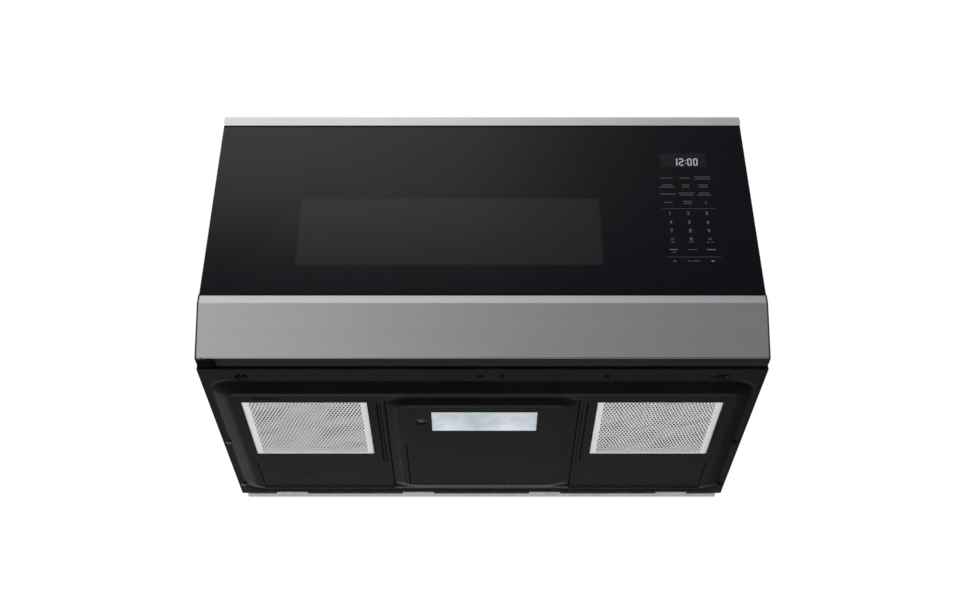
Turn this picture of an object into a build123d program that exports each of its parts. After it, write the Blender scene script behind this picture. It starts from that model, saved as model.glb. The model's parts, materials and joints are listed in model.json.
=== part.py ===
"""Over-the-range microwave oven with a hood fan, built as its separate pieces.

Millimetres. +X is to the right of someone facing the door, +Y runs back to the wall and +Z is up.
The origin is the middle of the footprint, level with the lowest pressing of the base.
"""

import os
from math import cos, hypot, pi, sin

from build123d import *

# Whole appliance
WIDTH = 759.0  # one 30 inch bay between cabinets
HEIGHT = 414.0  # lowest pressing to the top of the case
CASE_DEPTH = 434.0  # face of the door to the back of the case
WALL_GAP = 11.0  # depth of the hanging plate between case and wall
SHEET = 1.0  # case sheet steel
FIT = 0.2  # gap between pieces that seat on each other
RUN_FIT = 0.05  # radial clearance of a shaft in its bore
AIR = 0.4  # least gap between pieces that move past each other

# Base pan, pressed in three levels
MAIN_DROP = 6.0  # rim down to the main panel
CENTRE_DROP = 4.0  # main panel down to the centre panel
RIM_SIDE = 11.5  # flat rim at the left and right
RIM_FRONT = 35.0  # flat rail at the front, with the screws
RIM_REAR = 17.0
PRESS_RUN = 17.5  # sideways run of the main panel's sloped wall
CENTRE_RUN = 10.5
CENTRE_WIDTH = 268.0
CENTRE_SETBACK = 15.0  # main panel's front edge to the centre pressing
CENTRE_REAR_SETBACK = 3.0
PAN_FLANGE = 14.0  # upturned edge inside the case
PAN_CORNER = 10.0
CASE_FLANGE = 12.0  # folded edges of the top and the side sheets
BEAD_WIDTH = 9.0
BEAD_DROP = 1.2
BEAD_RUN = 2.5
BEAD_LENGTH = 190.0
BEAD_CLEAR = 4.0  # centre pressing to the bead beside it

# Grease filters and their openings in the main panel
FILTER_INNER_CLEAR = 12.5  # bead to the opening
FILTER_OUTER_CLEAR = 18.0  # opening to the main panel's sloped wall
FILTER_OPEN_LENGTH = 158.0
FILTER_SETBACK = 28.0  # main panel's front edge to the opening
FILTER_SIDE_LAP = 2.0
FILTER_END_LAP = 10.0
FILTER_THICKNESS = 8.0
FILTER_STRIP = 11.0  # width of the aluminium frame
MESH_THICKNESS = 2.4
MESH_CELL_X = 21.5
MESH_CELL_Y = 13.8
MESH_BAR = 2.4
CLIP_WIDTH = 14.0
CLIP_LIP = 5.0

# Cooktop lamp
LAMP_X = 3.0
LAMP_SETBACK = 49.5  # main panel's front edge to the lamp opening
LAMP_OPEN_WIDTH = 148.0
LAMP_OPEN_LENGTH = 56.0
LENS_LAP = 4.0
LENS_THICKNESS = 3.0
LAMP_HOUSING_HEIGHT = 22.0
LAMP_WALL = 1.5
LAMP_BOARD_THICKNESS = 1.6
LAMP_BOARD_WIDTH = 32.0
LED_SIZE = 5.0
LED_COUNT = 4

# Door
DOOR_DEPTH = 43.0
DOOR_GAP = 3.1  # door to the front of the case
DOOR_LIFT = 6.0  # rim of the base up to the door's underside
TRIM_HEIGHT = 16.3
TRIM_STEP = 0.5  # top trim below the top of the case
TRIM_GAP = 1.2  # door to the top trim
GLASS_THICKNESS = 4.0
GLASS_SIDE_STEP = 1.0
GLASS_CORNER = 2.0
GLASS_SEAM = 0.4
BAND_RISE = 82.2  # door's underside to the top of the steel band
BAND_LIP = 13.6  # upright part of the band
BAND_LEAN = 28.0  # how far the band's foot lies behind its lip
BAND_HEM = 6.0
BAND_RETURN = 3.5
CAP_THICKNESS = 2.0
CAP_DEPTH = 34.0
FRAME_WALL = 3.0
HINGE_CORNER = 5.0  # round on the door's rear corner at the hinge

# Hinges
PIVOT_INSET = 9.0  # pivot to the door's left side
PIVOT_AHEAD = 9.0  # pivot to the back of the door
PIN_RADIUS = 3.0
PIN_LENGTH = 16.0
BRACKET_THICKNESS = 3.0
BRACKET_WIDTH = 22.0
BRACKET_NOSE = 5.0  # bracket ahead of the pivot
BRACKET_LEG = 20.0
BUSH_WALL = 2.0
BUSH_LENGTH = 11.0
BUSH_FLANGE = 1.2
BUSH_FLANGE_RADIUS = 7.0
HINGE_BLOCK = 17.0

# Oven cavity
CAVITY_SETBACK = 49.5  # left side of the case to the oven's left wall
CONTROL_BAY = 139.5  # right wall of the oven to the right side of the case
CAVITY_HEIGHT = 260.0
CAVITY_DEPTH = 368.0
CAVITY_LIFT = 52.0  # rim of the base up to the cavity floor
CAVITY_SHEET = 1.0
CAVITY_FLANGE = 12.0
CAVITY_CORNER = 18.0
OPENING_CORNER = 8.0
PORT_WIDTH = 70.0  # feed port of the waveguide in the cavity's right wall
PORT_HEIGHT = 40.0
LAMP_SLOT_COUNT = 6
LAMP_SLOT_WIDTH = 2.5
LAMP_SLOT_LENGTH = 24.0
LAMP_SLOT_PITCH = 5.5

# Window and choke of the door
WINDOW_WIDTH = 421.0
WINDOW_HEIGHT = 115.3
WINDOW_LIFT = 130.4  # door's underside to the window's lower edge
WINDOW_MARGIN = 4.0
CHOKE_LAP = 22.0  # choke beyond the cavity opening
CHOKE_WIDTH = 30.0
CHOKE_DEPTH = 16.0
CHOKE_REAR_STEP = 3.0
PLATEAU_DEPTH = 12.0
CHOKE_SHEET = 1.2
COLLAR_INSET = 22.0  # edge of the choke to the collar that carries it
CHOKE_SLOT = 5.0
CHOKE_SLOT_PITCH = 26.0
CHOKE_SLOT_DEPTH = 12.0
SCREEN_THICKNESS = 0.8
SCREEN_LAP = 6.0
INNER_WINDOW_THICKNESS = 1.2
CHOKE_COVER_THICKNESS = 3.0
CHOKE_COVER_WALL = 2.0
BACK_COVER_THICKNESS = 2.8

# Controls in the door
CONTROL_INSET = 91.2  # middle of the keypad to the door's right end
KEYPAD_WIDTH = 90.0
KEYPAD_HEIGHT = 92.0
DISPLAY_WIDTH = 66.0
DISPLAY_HEIGHT = 26.0
DISPLAY_DROP = 52.0  # door's top to the display
DISPLAY_GAP = 3.0
DISPLAY_DEPTH = 8.0
BOARD_THICKNESS = 1.6

# Latch
LATCH_INSET = 93.5  # latch key to the right side of the case
LATCH_BAR = 6.0
LATCH_BAR_DEPTH = 18.0
LATCH_SETBACK = 20.0  # face of the door to the key bar
HOOK_SPACING = 150.0
HOOK_LIFT = 109.0  # door's underside to the lower hook
HOOK_HEIGHT = 10.0
HOOK_REACH = 23.0  # back of the door to the hook's tip
HOOK_NOSE = 6.0
HOOK_NOSE_LENGTH = 8.0
KEY_TRAVEL = 4.0
KEY_TAIL = 7.0
GUIDE_WALL = 3.0
GUIDE_LENGTH = 40.0
SPRING_RADIUS = 4.0
SPRING_WALL = 1.2
SPRING_LENGTH = 30.0
LATCH_BODY_WIDTH = 30.0
LATCH_BODY_DEPTH = 26.0
LATCH_BODY_MARGIN = 25.0
LATCH_WINDOW = 14.0
SWITCH_LENGTH = 28.0
SWITCH_HEIGHT = 16.0
SWITCH_WIDTH = 10.0
PLUNGER_RADIUS = 1.6
PLUNGER_OUT = 2.5
PLUNGER_TRAVEL = 1.5
PLUNGER_GAP = 0.6
PLUNGER_BORE_DEPTH = 6.0

# Turntable
TRAY_RADIUS = 172.0
TRAY_THICKNESS = 5.0
TRAY_RIM = 9.0
ROLLER_RADIUS = 8.0
ROLLER_WIDTH = 7.0
ROLLER_TRACK = 100.0
ROLLER_COUNT = 3
RING_WIDTH = 7.0
RING_HEIGHT = 7.0
AXLE_RADIUS = 2.5
AXLE_HEAD = 1.5
COUPLER_RADIUS = 24.0
COUPLER_LEAF = 9.0
COUPLER_HUB = 10.0
MOTOR_SHAFT = 3.5
TRAY_MOTOR_RADIUS = 25.0
TRAY_MOTOR_HEIGHT = 17.0
TRAY_MOTOR_EAR = 9.0

# Chassis shelf under the oven, over the hood's air duct
SHELF_LIFT = 28.0  # rim of the base up to the shelf
SHELF_FLANGE = 10.0
SHELF_DUCT = 34.0
SHELF_DUCT_LENGTH = 300.0

# Hood blower, above the oven
SCROLL_RADIUS = 42.0
SCROLL_WALL = 1.5
SCROLL_LENGTH = 110.0
SCROLL_OUTLET = 64.0
SCROLL_INLET = 27.0
BLOWER_SETBACK = 59.0  # back of the case to the blower's shaft
BLOWER_MOTOR_RADIUS = 30.0
BLOWER_MOTOR_LENGTH = 88.0
BLOWER_MOTOR_FOOT = 40.0
BLOWER_SHAFT = 4.0
WHEEL_RADIUS = 32.0
WHEEL_LENGTH = 97.0
WHEEL_RING = 6.0
WHEEL_DISC = 2.0
WHEEL_BLADES = 24
WHEEL_BLADE_THICKNESS = 1.0
WHEEL_HUB = 9.0

# Outlets and vents
DUCT_WIDTH = 254.0  # 10 inch
DUCT_LENGTH = 82.5  # 3 1/4 inch
GRILLE_WALL = 1.5
LOUVRE_WIDTH = 7.0
LOUVRE_PITCH = 13.0
LOUVRE_LENGTH = 26.0
CHARCOAL_WIDTH = 300.0
CHARCOAL_HEIGHT = 66.0
CHARCOAL_THICKNESS = 14.0
CHARCOAL_COLUMN_COUNT = 10
CHARCOAL_ROW_COUNT = 3
CHARCOAL_RIB = 3.0
CHARCOAL_SETBACK = 6.0

# Microwave system in the right-hand compartment
WAVEGUIDE_DEPTH = 30.0
WAVEGUIDE_WIDTH = 80.0
WAVEGUIDE_HEIGHT = 124.0
WAVEGUIDE_SETBACK = 224.0  # front of the case to the waveguide's middle
WAVEGUIDE_LIFT = 118.0  # cavity floor to the waveguide's lower end
WAVEGUIDE_SHEET = 1.0
MICA_THICKNESS = 0.8
MICA_LAP = 10.0
MAGNETRON_LIFT = 88.0  # waveguide's lower end to the antenna
YOKE_LENGTH = 58.0
YOKE_WIDTH = 76.0
YOKE_HEIGHT = 90.0
YOKE_PLATE = 3.0
ANODE_RADIUS = 20.0
ANTENNA_RADIUS = 7.0
ANTENNA_LENGTH = 22.0
FIN_COUNT = 6
FIN_THICKNESS = 1.0
FILTER_BOX_LENGTH = 30.0
FILTER_BOX_WIDTH = 44.0
CORE_WIDTH = 90.0
CORE_HEIGHT = 72.0
CORE_DEPTH = 62.0
CORE_LIMB = 15.0
COIL_OVERHANG = 13.0
COIL_GAP = 4.0
CORE_INSET = 76.5  # transformer to the right side of the case
CORE_SETBACK = 52.0  # back of the case to the middle of the core
CAPACITOR_WIDTH = 54.0
CAPACITOR_DEPTH = 34.0
CAPACITOR_HEIGHT = 88.0
CAPACITOR_INSET = 89.5
CAPACITOR_SETBACK = 220.0
TERMINAL_HEIGHT = 8.0
POWER_BOARD_LENGTH = 100.0
POWER_BOARD_HEIGHT = 120.0
POWER_BOARD_SETBACK = 74.0
POWER_BOARD_LIFT = 168.0
STANDOFF_LENGTH = 10.0
STANDOFF_RADIUS = 3.0
RELAY_HEIGHT = 16.0
COOLING_RADIUS = 44.0
COOLING_HUB = 14.0
COOLING_BLADES = 5
COOLING_WIDTH = 16.0
COOLING_TIP_GAP = 3.0
COOLING_PLATE = 112.0
COOLING_RING_WALL = 2.0
COOLING_LEG = 8.0
COOLING_MOTOR_RADIUS = 22.0
COOLING_MOTOR_LENGTH = 20.0
COOLING_SHAFT = 2.5

# Mounting
PLATE_SHEET = 1.2
PLATE_WIDTH = 742.0
PLATE_TOP_GAP = 20.0
TAB_WIDTH = 49.0
TAB_REACH = 5.0
TAB_SPACING = 200.0
TAB_COUNT = 4
WALL_HOLE_RADIUS = 4.0
WALL_HOLE_SPACING = 406.4  # 16 inch studs
WALL_HOLE_RISE = 250.0
PLATE_WINDOW_WIDTH = 340.0
PLATE_WINDOW_HEIGHT = 170.0
CABINET_SPACING = 590.0
CABINET_SETBACK = 70.0
CABINET_BOLT_RADIUS = 3.2
NUT_RADIUS = 7.0
NUT_HEIGHT = 6.0
CORD_BORE = 9.0
CORD_NECK = 13.0
CORD_FLANGE = 18.0
CORD_FLANGE_THICKNESS = 2.5
CORD_INSET = 79.5
CORD_SETBACK = 60.0

# Fasteners
SCREW_RADIUS = 2.0
SCREW_LENGTH = 4.0
SCREW_HEAD = 4.2
SCREW_HEAD_HEIGHT = 2.0
RAIL_SCREW_SETBACK = 20.5  # front of the case to the rail's screws
RAIL_SCREWS = (-2.6, 25.5, 167.0)
RAIL_END_INSETS = (56.5, 62.5)  # left and right side of the case to the rail's end screws
SIDE_SCREW_INSET = 7.0
SIDE_SCREWS = (212.0, 356.0)  # behind the front of the case
BACK_SCREWS = (-300.0, -100.0, 100.0, 300.0)
BACK_SCREW_INSET = 7.5
LENS_SCREW_GAP = 15.0
LENS_SCREW_WELL = 2.5  # depth of the pressed well round the lens screw
LENS_SCREW_RADIUS = 7.0

# Planes that several pieces share
LEFT, RIGHT = -WIDTH / 2, WIDTH / 2
FRONT = -(CASE_DEPTH + WALL_GAP) / 2
CASE_BACK = FRONT + CASE_DEPTH
WALL = CASE_BACK + WALL_GAP
DOOR_BACK = FRONT + DOOR_DEPTH
CASE_FRONT = DOOR_BACK + DOOR_GAP
IN_FRONT = CASE_FRONT + SHEET + FIT
IN_BACK = CASE_BACK - SHEET - FIT
IN_LEFT, IN_RIGHT = LEFT + SHEET + FIT, RIGHT - SHEET - FIT
IN_TOP = HEIGHT - SHEET - FIT
MAIN_Z = CENTRE_DROP
RIM_Z = CENTRE_DROP + MAIN_DROP
PANEL_FRONT = CASE_FRONT + RIM_FRONT + PRESS_RUN
DOOR_BOTTOM = RIM_Z + DOOR_LIFT
TRIM_TOP = HEIGHT - TRIM_STEP
TRIM_BOTTOM = TRIM_TOP - TRIM_HEIGHT
DOOR_TOP = TRIM_BOTTOM - TRIM_GAP
BAND_TOP = DOOR_BOTTOM + BAND_RISE
WEB_FRONT = FRONT + GLASS_THICKNESS + FIT
WEB_BACK = WEB_FRONT + FRAME_WALL
PIVOT_X = LEFT + PIVOT_INSET
PIVOT_Y = DOOR_BACK - PIVOT_AHEAD
CAVITY_LEFT, CAVITY_RIGHT = LEFT + CAVITY_SETBACK, RIGHT - CONTROL_BAY
CAVITY_X = (CAVITY_LEFT + CAVITY_RIGHT) / 2
CONTROL_X = RIGHT - CONTROL_INSET
LATCH_X = RIGHT - LATCH_INSET
CORE_X = RIGHT - CORE_INSET
CAPACITOR_X = RIGHT - CAPACITOR_INSET
CORD_X = RIGHT - CORD_INSET
CAVITY_FRONT = IN_FRONT
CAVITY_BACK = CAVITY_FRONT + CAVITY_DEPTH
CAVITY_FLOOR = RIM_Z + CAVITY_LIFT
CAVITY_TOP = CAVITY_FLOOR + CAVITY_HEIGHT
OVER_CAVITY = CAVITY_TOP + CAVITY_SHEET + FIT
TURN_Y = (CAVITY_FRONT + CAVITY_BACK) / 2
SHELF_Z = RIM_Z + SHELF_LIFT
ON_SHELF = SHELF_Z + SHEET + FIT
WAVEGUIDE_Y = CASE_FRONT + WAVEGUIDE_SETBACK
WAVEGUIDE_X = CAVITY_RIGHT + CAVITY_SHEET + FIT
WAVEGUIDE_Z = CAVITY_FLOOR + WAVEGUIDE_LIFT
PORT_Z = WAVEGUIDE_Z + PORT_HEIGHT / 2 + MICA_LAP
ANTENNA_Z = WAVEGUIDE_Z + MAGNETRON_LIFT
YOKE_X = WAVEGUIDE_X + WAVEGUIDE_DEPTH + FIT
COOLING_X = YOKE_X + YOKE_LENGTH / 2
BLOWER_Y = CASE_BACK - BLOWER_SETBACK
BLOWER_Z = OVER_CAVITY + SCROLL_RADIUS
SCROLL_START = BLOWER_MOTOR_LENGTH / 2 + 2 * FIT
HOOKS = (DOOR_BOTTOM + HOOK_LIFT, DOOR_BOTTOM + HOOK_LIFT + HOOK_SPACING)
HOOK_TIP = DOOR_BACK + HOOK_REACH
TRAY_UNDER = CAVITY_FLOOR + 2 * (ROLLER_RADIUS + AIR)
PANEL_WELL = (DOOR_BACK - CHOKE_REAR_STEP - CHOKE_DEPTH, DOOR_BACK - CHOKE_REAR_STEP)
PLATEAU = PANEL_WELL[0] + PLATEAU_DEPTH
WINDOW_Z = (DOOR_BOTTOM + WINDOW_LIFT, DOOR_BOTTOM + WINDOW_LIFT + WINDOW_HEIGHT)
WINDOW_SPAN = (CAVITY_X - WINDOW_WIDTH / 2, CAVITY_X + WINDOW_WIDTH / 2)
FILTER_FRONT = PANEL_FRONT + FILTER_SETBACK
FILTER_BASE = MAIN_Z + SHEET + FIT
LAMP_FRONT = PANEL_FRONT + LAMP_SETBACK


# ------------------------------------------------------------------ drawing helpers
def around(middle, width):
    """Low and high end of a width about its middle."""
    return middle - width / 2, middle + width / 2


def grow(span, by):
    """The span with both of its ends moved out."""
    return span[0] - by, span[1] + by


def block(x, y, z):
    """Box between three pairs of low and high ends."""
    size = [high - low for low, high in (x, y, z)]
    middle = [(high + low) / 2 for low, high in (x, y, z)]
    return Pos(*middle) * Box(*size)


def patch(u, v, corner=0.0):
    """Rectangle between two pairs of ends, with rounded corners if asked."""
    wide, high = u[1] - u[0], v[1] - v[0]
    shape = RectangleRounded(wide, high, corner) if corner else Rectangle(wide, high)
    return Pos((u[0] + u[1]) / 2, (v[0] + v[1]) / 2) * shape


def level(outline, z):
    """X-Y outline drawn out between two heights."""
    return extrude(Pos(0, 0, z[0]) * outline, amount=z[1] - z[0])


def upright(outline, y):
    """X-Z outline drawn out between two depths."""
    plane = Plane(origin=(0, y[1], 0), x_dir=(1, 0, 0), z_dir=(0, -1, 0))
    return extrude(plane * outline, amount=y[1] - y[0])


def lengthwise(outline, x):
    """Y-Z outline drawn out between two sides."""
    plane = Plane(origin=(x[0], 0, 0), x_dir=(0, 1, 0), z_dir=(1, 0, 0))
    return extrude(plane * outline, amount=x[1] - x[0])


def disc(at, radius):
    """Circle about a point of an outline."""
    return Pos(*at) * Circle(radius)


def stepped(x, y, z, run, corner):
    """Pressed step: wide at the upper height, drawn in by sloped walls at the lower."""
    low = Pos(0, 0, z[0]) * patch(grow(x, -run), grow(y, -run), corner)
    high = Pos(0, 0, z[1]) * patch(x, y, corner + run)
    return loft([low.face(), high.face()], ruled=True)


def join(pieces):
    """All the pieces fused into one shape."""
    pieces = list(pieces)
    whole = pieces[0]
    for piece in pieces[1:]:
        whole = whole + piece
    return whole


def screw(at, direction):
    """Pan-head screw: its head outside the sheet at a point, its shank into the case."""
    plane = Plane(origin=at, z_dir=direction)
    head = extrude(plane * Circle(SCREW_HEAD), amount=-SCREW_HEAD_HEIGHT)
    head = chamfer(head.faces().sort_by(Axis(at, direction))[0].edges(), SCREW_HEAD_HEIGHT / 3)
    return head + extrude(plane * Circle(SCREW_RADIUS), amount=SHEET + SCREW_LENGTH)


# ------------------------------------------------------------------ base
def filter_opening(side):
    """Spans of the filter opening in the main panel: side is -1 at the left, 1 at the right."""
    inner = CENTRE_WIDTH / 2 + BEAD_CLEAR + BEAD_WIDTH + FILTER_INNER_CLEAR
    outer = RIGHT - RIM_SIDE - PRESS_RUN - FILTER_OUTER_CLEAR
    x = tuple(sorted((side * inner, side * outer)))
    return x, (FILTER_FRONT, FILTER_FRONT + FILTER_OPEN_LENGTH)


def pan_steps(lift):
    """The pan's pressed steps as solids, raised by a sheet's thickness for their upper side."""
    main_x = (LEFT + RIM_SIDE, RIGHT - RIM_SIDE)
    main_y = (CASE_FRONT + RIM_FRONT, CASE_BACK - RIM_REAR)
    centre_y = (PANEL_FRONT + CENTRE_SETBACK, main_y[1] - PRESS_RUN - CENTRE_REAR_SETBACK)
    centre_x = around(0, CENTRE_WIDTH)
    steps = [
        stepped(main_x, main_y, (MAIN_Z + lift, RIM_Z + lift), PRESS_RUN, PAN_CORNER),
        stepped(centre_x, centre_y, (lift, MAIN_Z + lift), CENTRE_RUN, PAN_CORNER),
    ]
    bead_y = (FILTER_FRONT, FILTER_FRONT + BEAD_LENGTH)
    for side in (-1, 1):
        middle = side * (CENTRE_WIDTH / 2 + BEAD_CLEAR + BEAD_WIDTH / 2)
        bead_z = (MAIN_Z - BEAD_DROP + lift, MAIN_Z + lift)
        steps.append(stepped(around(middle, BEAD_WIDTH), bead_y, bead_z, BEAD_RUN, BEAD_DROP))
    return join(steps)


def filter_clips(side):
    """Lanced tabs at both sides of a filter that keep it down as it slides."""
    clips = []
    body = grow(filter_opening(side)[0], FILTER_SIDE_LAP)
    top = FILTER_BASE + FILTER_THICKNESS + AIR
    for edge, out in ((body[0] - AIR, -1), (body[1] + AIR, 1)):
        for share in (0.25, 0.75):
            y = around(FILTER_FRONT + share * FILTER_OPEN_LENGTH, CLIP_WIDTH)
            post = block(sorted((edge, edge + out * SHEET)), y, (MAIN_Z + SHEET, top))
            lip = block(sorted((edge - out * CLIP_LIP, edge + out * SHEET)), y, (top, top + SHEET))
            clips.append(post + lip)
    return join(clips)


def base_pan():
    """Black pressed pan that closes the case below."""
    outside = block((IN_LEFT, IN_RIGHT), (IN_FRONT, IN_BACK), (RIM_Z, RIM_Z + PAN_FLANGE))
    inside = block(
        grow((IN_LEFT, IN_RIGHT), -SHEET),
        grow((IN_FRONT, IN_BACK), -SHEET),
        (RIM_Z + SHEET, RIM_Z + PAN_FLANGE + SHEET),
    )
    pan = outside - inside + pan_steps(0) - pan_steps(SHEET)
    for side in (-1, 1):
        x, y = filter_opening(side)
        pan = pan - level(patch(x, y), (MAIN_Z - BEAD_DROP, RIM_Z)) + filter_clips(side)
    lamp_y = (LAMP_FRONT, LAMP_FRONT + LAMP_OPEN_LENGTH)
    pan = pan - level(patch(around(LAMP_X, LAMP_OPEN_WIDTH), lamp_y, 2 * SHEET), (-SHEET, RIM_Z))
    bracket_end = PIVOT_X + BRACKET_WIDTH
    pan = pan - block((LEFT, bracket_end), (CASE_FRONT, IN_FRONT + SHEET), (RIM_Z + SHEET, HEIGHT))
    x, y, well = base_screw_places()[-1]
    pan = pan + level(disc((x, y), LENS_SCREW_RADIUS + SHEET), (0, well + SHEET))
    pan = pan - level(disc((x, y), LENS_SCREW_RADIUS), (-SHEET, well))
    for at in base_screw_places():
        pan = pan - Pos(*at) * Cylinder(SCREW_RADIUS + RUN_FIT, 4 * SHEET)
    return pan


def filter_frame(side):
    """Aluminium frame of one grease filter."""
    x, y = filter_opening(side)
    x, y = grow(x, FILTER_SIDE_LAP), grow(y, FILTER_END_LAP)
    z = (FILTER_BASE, FILTER_BASE + FILTER_THICKNESS)
    frame = block(x, y, z) - block(grow(x, -FILTER_STRIP), grow(y, -FILTER_STRIP), grow(z, SHEET))
    return chamfer(frame.edges().filter_by(Axis.Z).group_by(Axis.Y)[0], 2 * SHEET)


def filter_mesh(side):
    """Expanded mesh of one grease filter: a sheet with staggered rows of diamond openings."""
    x, y = filter_opening(side)
    x = grow(x, FILTER_SIDE_LAP - FILTER_STRIP - FIT)
    y = grow(y, FILTER_END_LAP - FILTER_STRIP - FIT)
    floor = FILTER_BASE + (FILTER_THICKNESS - MESH_THICKNESS) / 2
    half_x, half_y = (MESH_CELL_X - MESH_BAR) / 2, (MESH_CELL_Y - MESH_BAR) / 2
    columns = int((x[1] - x[0] - MESH_BAR) / MESH_CELL_X)
    rows = int((y[1] - y[0] - MESH_BAR) / MESH_CELL_Y)
    diamond = Polygon((-half_x, 0), (0, -half_y), (half_x, 0), (0, half_y), align=None)
    places = list(GridLocations(MESH_CELL_X, MESH_CELL_Y, columns, rows))
    places += list(GridLocations(MESH_CELL_X, MESH_CELL_Y, columns - 1, rows - 1))
    centre = Pos((x[0] + x[1]) / 2, (y[0] + y[1]) / 2)
    holes = [centre * place * diamond for place in places]
    return level(patch(x, y) - holes, (floor, floor + MESH_THICKNESS))


def lamp_lens():
    """Glass plate over the cooktop lamp, lying on the centre panel."""
    x = grow(around(LAMP_X, LAMP_OPEN_WIDTH), LENS_LAP)
    y = grow((LAMP_FRONT, LAMP_FRONT + LAMP_OPEN_LENGTH), LENS_LAP)
    base = SHEET + FIT
    lens = level(patch(x, y, 2 * SHEET), (base, base + LENS_THICKNESS))
    return chamfer(lens.faces().sort_by(Axis.Z)[-1].edges(), FIT)


def lamp_spans(inset):
    """Plan of the lamp housing, drawn in by an inset."""
    gap = LENS_LAP + AIR + LAMP_WALL - inset
    x = grow(around(LAMP_X, LAMP_OPEN_WIDTH), gap)
    return x, grow((LAMP_FRONT, LAMP_FRONT + LAMP_OPEN_LENGTH), gap)


def lamp_housing():
    """Reflector box over the lens."""
    z = (SHEET + FIT, SHEET + FIT + LAMP_HOUSING_HEIGHT)
    outside = block(*lamp_spans(0), z)
    return outside - block(*lamp_spans(LAMP_WALL), (z[0] - SHEET, z[1] - LAMP_WALL))


def lamp_board():
    """Lamp board under the housing's roof, with its light-emitting diodes."""
    top = SHEET + LAMP_HOUSING_HEIGHT - LAMP_WALL
    x, y = lamp_spans(LAMP_WALL + AIR)
    y = around((y[0] + y[1]) / 2, LAMP_BOARD_WIDTH)
    board = block(x, y, (top - LAMP_BOARD_THICKNESS, top))
    pitch = (x[1] - x[0]) / LED_COUNT
    for index in range(LED_COUNT):
        at = around(x[0] + (index + 0.5) * pitch, LED_SIZE)
        low = top - LAMP_BOARD_THICKNESS - LED_SIZE / 3
        board = board + block(at, around((y[0] + y[1]) / 2, LED_SIZE), (low, top))
    return board


# ------------------------------------------------------------------ case
def side_panels():
    """Left and right sheet of the case, each with a flange folded in at the rear."""
    flange_y = (IN_BACK - SHEET, IN_BACK)
    flange_z = (RIM_Z + PAN_FLANGE + AIR, HEIGHT - CASE_FLANGE - FIT)
    panels = []
    for edge, side in ((LEFT, 1), (RIGHT, -1)):
        sheet = block(sorted((edge, edge + side * SHEET)), (CASE_FRONT, CASE_BACK), (RIM_Z, HEIGHT))
        flange = block(sorted((edge, edge + side * CASE_FLANGE)), flange_y, flange_z)
        panels.append(sheet + flange)
    return Compound(children=panels)


def top_panel():
    """Top sheet with flanges folded down, the duct outlet, the cord's hole and two weld nuts."""
    x, z = (IN_LEFT, IN_RIGHT), (HEIGHT - CASE_FLANGE, HEIGHT)
    top = block(x, (CASE_FRONT, CASE_BACK), (HEIGHT - SHEET, HEIGHT))
    for edge in (IN_LEFT, IN_RIGHT - SHEET):
        top = top + block((edge, edge + SHEET), (IN_FRONT, IN_BACK), z)
    rear = patch(x, z)
    for at_x, _, at_z in back_screw_places():
        rear = rear - disc((at_x, at_z), SCREW_RADIUS + RUN_FIT)
    top = top + upright(rear, (IN_BACK - SHEET, IN_BACK))
    duct_y = around(BLOWER_Y, DUCT_LENGTH)
    top = top - level(patch(around(0, DUCT_WIDTH), duct_y, 2 * SHEET), (IN_TOP, HEIGHT + SHEET))
    for nut_x in around(0, CABINET_SPACING):
        at = (nut_x, CASE_FRONT + CABINET_SETBACK)
        nut = level(Pos(*at) * RegularPolygon(NUT_RADIUS, 6), (HEIGHT - SHEET - NUT_HEIGHT, HEIGHT))
        top = top + nut - level(disc(at, CABINET_BOLT_RADIUS), (0, HEIGHT + SHEET))
    cord = (CORD_X, CASE_BACK - CORD_SETBACK)
    return top - level(disc(cord, CORD_NECK + FIT), (IN_TOP, HEIGHT + SHEET))


def back_panel():
    """Rear sheet with the cooling fan's intake slots."""
    y = (CASE_BACK - SHEET, CASE_BACK)
    panel = upright(patch((IN_LEFT, IN_RIGHT), (RIM_Z, IN_TOP)), y)
    slots = 7
    for index in range(slots):
        z = around(ANTENNA_Z + (index - slots // 2) * 3 * LOUVRE_WIDTH / 2, LOUVRE_WIDTH)
        span = around(COOLING_X, 2 * COOLING_MOTOR_RADIUS)
        for x in ((span[0] - LOUVRE_LENGTH, span[0] - AIR), (span[1] + AIR, span[1] + LOUVRE_LENGTH)):
            panel = panel - upright(patch(x, z), grow(y, SHEET))
    for x, _, z in back_screw_places():
        panel = panel - upright(disc((x, z), SCREW_RADIUS + RUN_FIT), grow(y, SHEET))
    return panel


def front_frame():
    """Chassis face behind the door: oven opening, vent outlet, hinge notches and hook windows."""
    frame = patch((IN_LEFT, IN_RIGHT), (RIM_Z, IN_TOP))
    oven = patch((CAVITY_LEFT, CAVITY_RIGHT), (CAVITY_FLOOR, CAVITY_TOP), OPENING_CORNER)
    vent = patch(grow((LEFT, RIGHT), -BRACKET_WIDTH * 2), (TRIM_BOTTOM + SHEET, IN_TOP - SHEET))
    frame = frame - oven - vent
    for z in bracket_levels():
        frame = frame - patch(grow(bracket_span(), FIT), grow(z, FIT))
    for z in HOOKS:
        frame = frame - patch(around(LATCH_X, LATCH_WINDOW), hook_window(z))
    return upright(frame, (CASE_FRONT, CASE_FRONT + SHEET))


def chassis_shelf():
    """Sheet under the oven that divides it from the hood's air duct."""
    x, y = (IN_LEFT, IN_RIGHT), (IN_FRONT, IN_BACK - SHEET - FIT)
    shelf = block(x, y, (SHELF_Z, SHELF_Z + SHELF_FLANGE))
    shelf = shelf - block(grow(x, -SHEET), grow(y, -SHEET), (SHELF_Z + SHEET, HEIGHT))
    duct_y = around(TURN_Y, SHELF_DUCT_LENGTH)
    duct_x = (x[0] + 3 * SHEET, x[0] + SHELF_DUCT)
    return shelf - level(patch(duct_x, duct_y, OPENING_CORNER), (0, HEIGHT))


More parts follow.
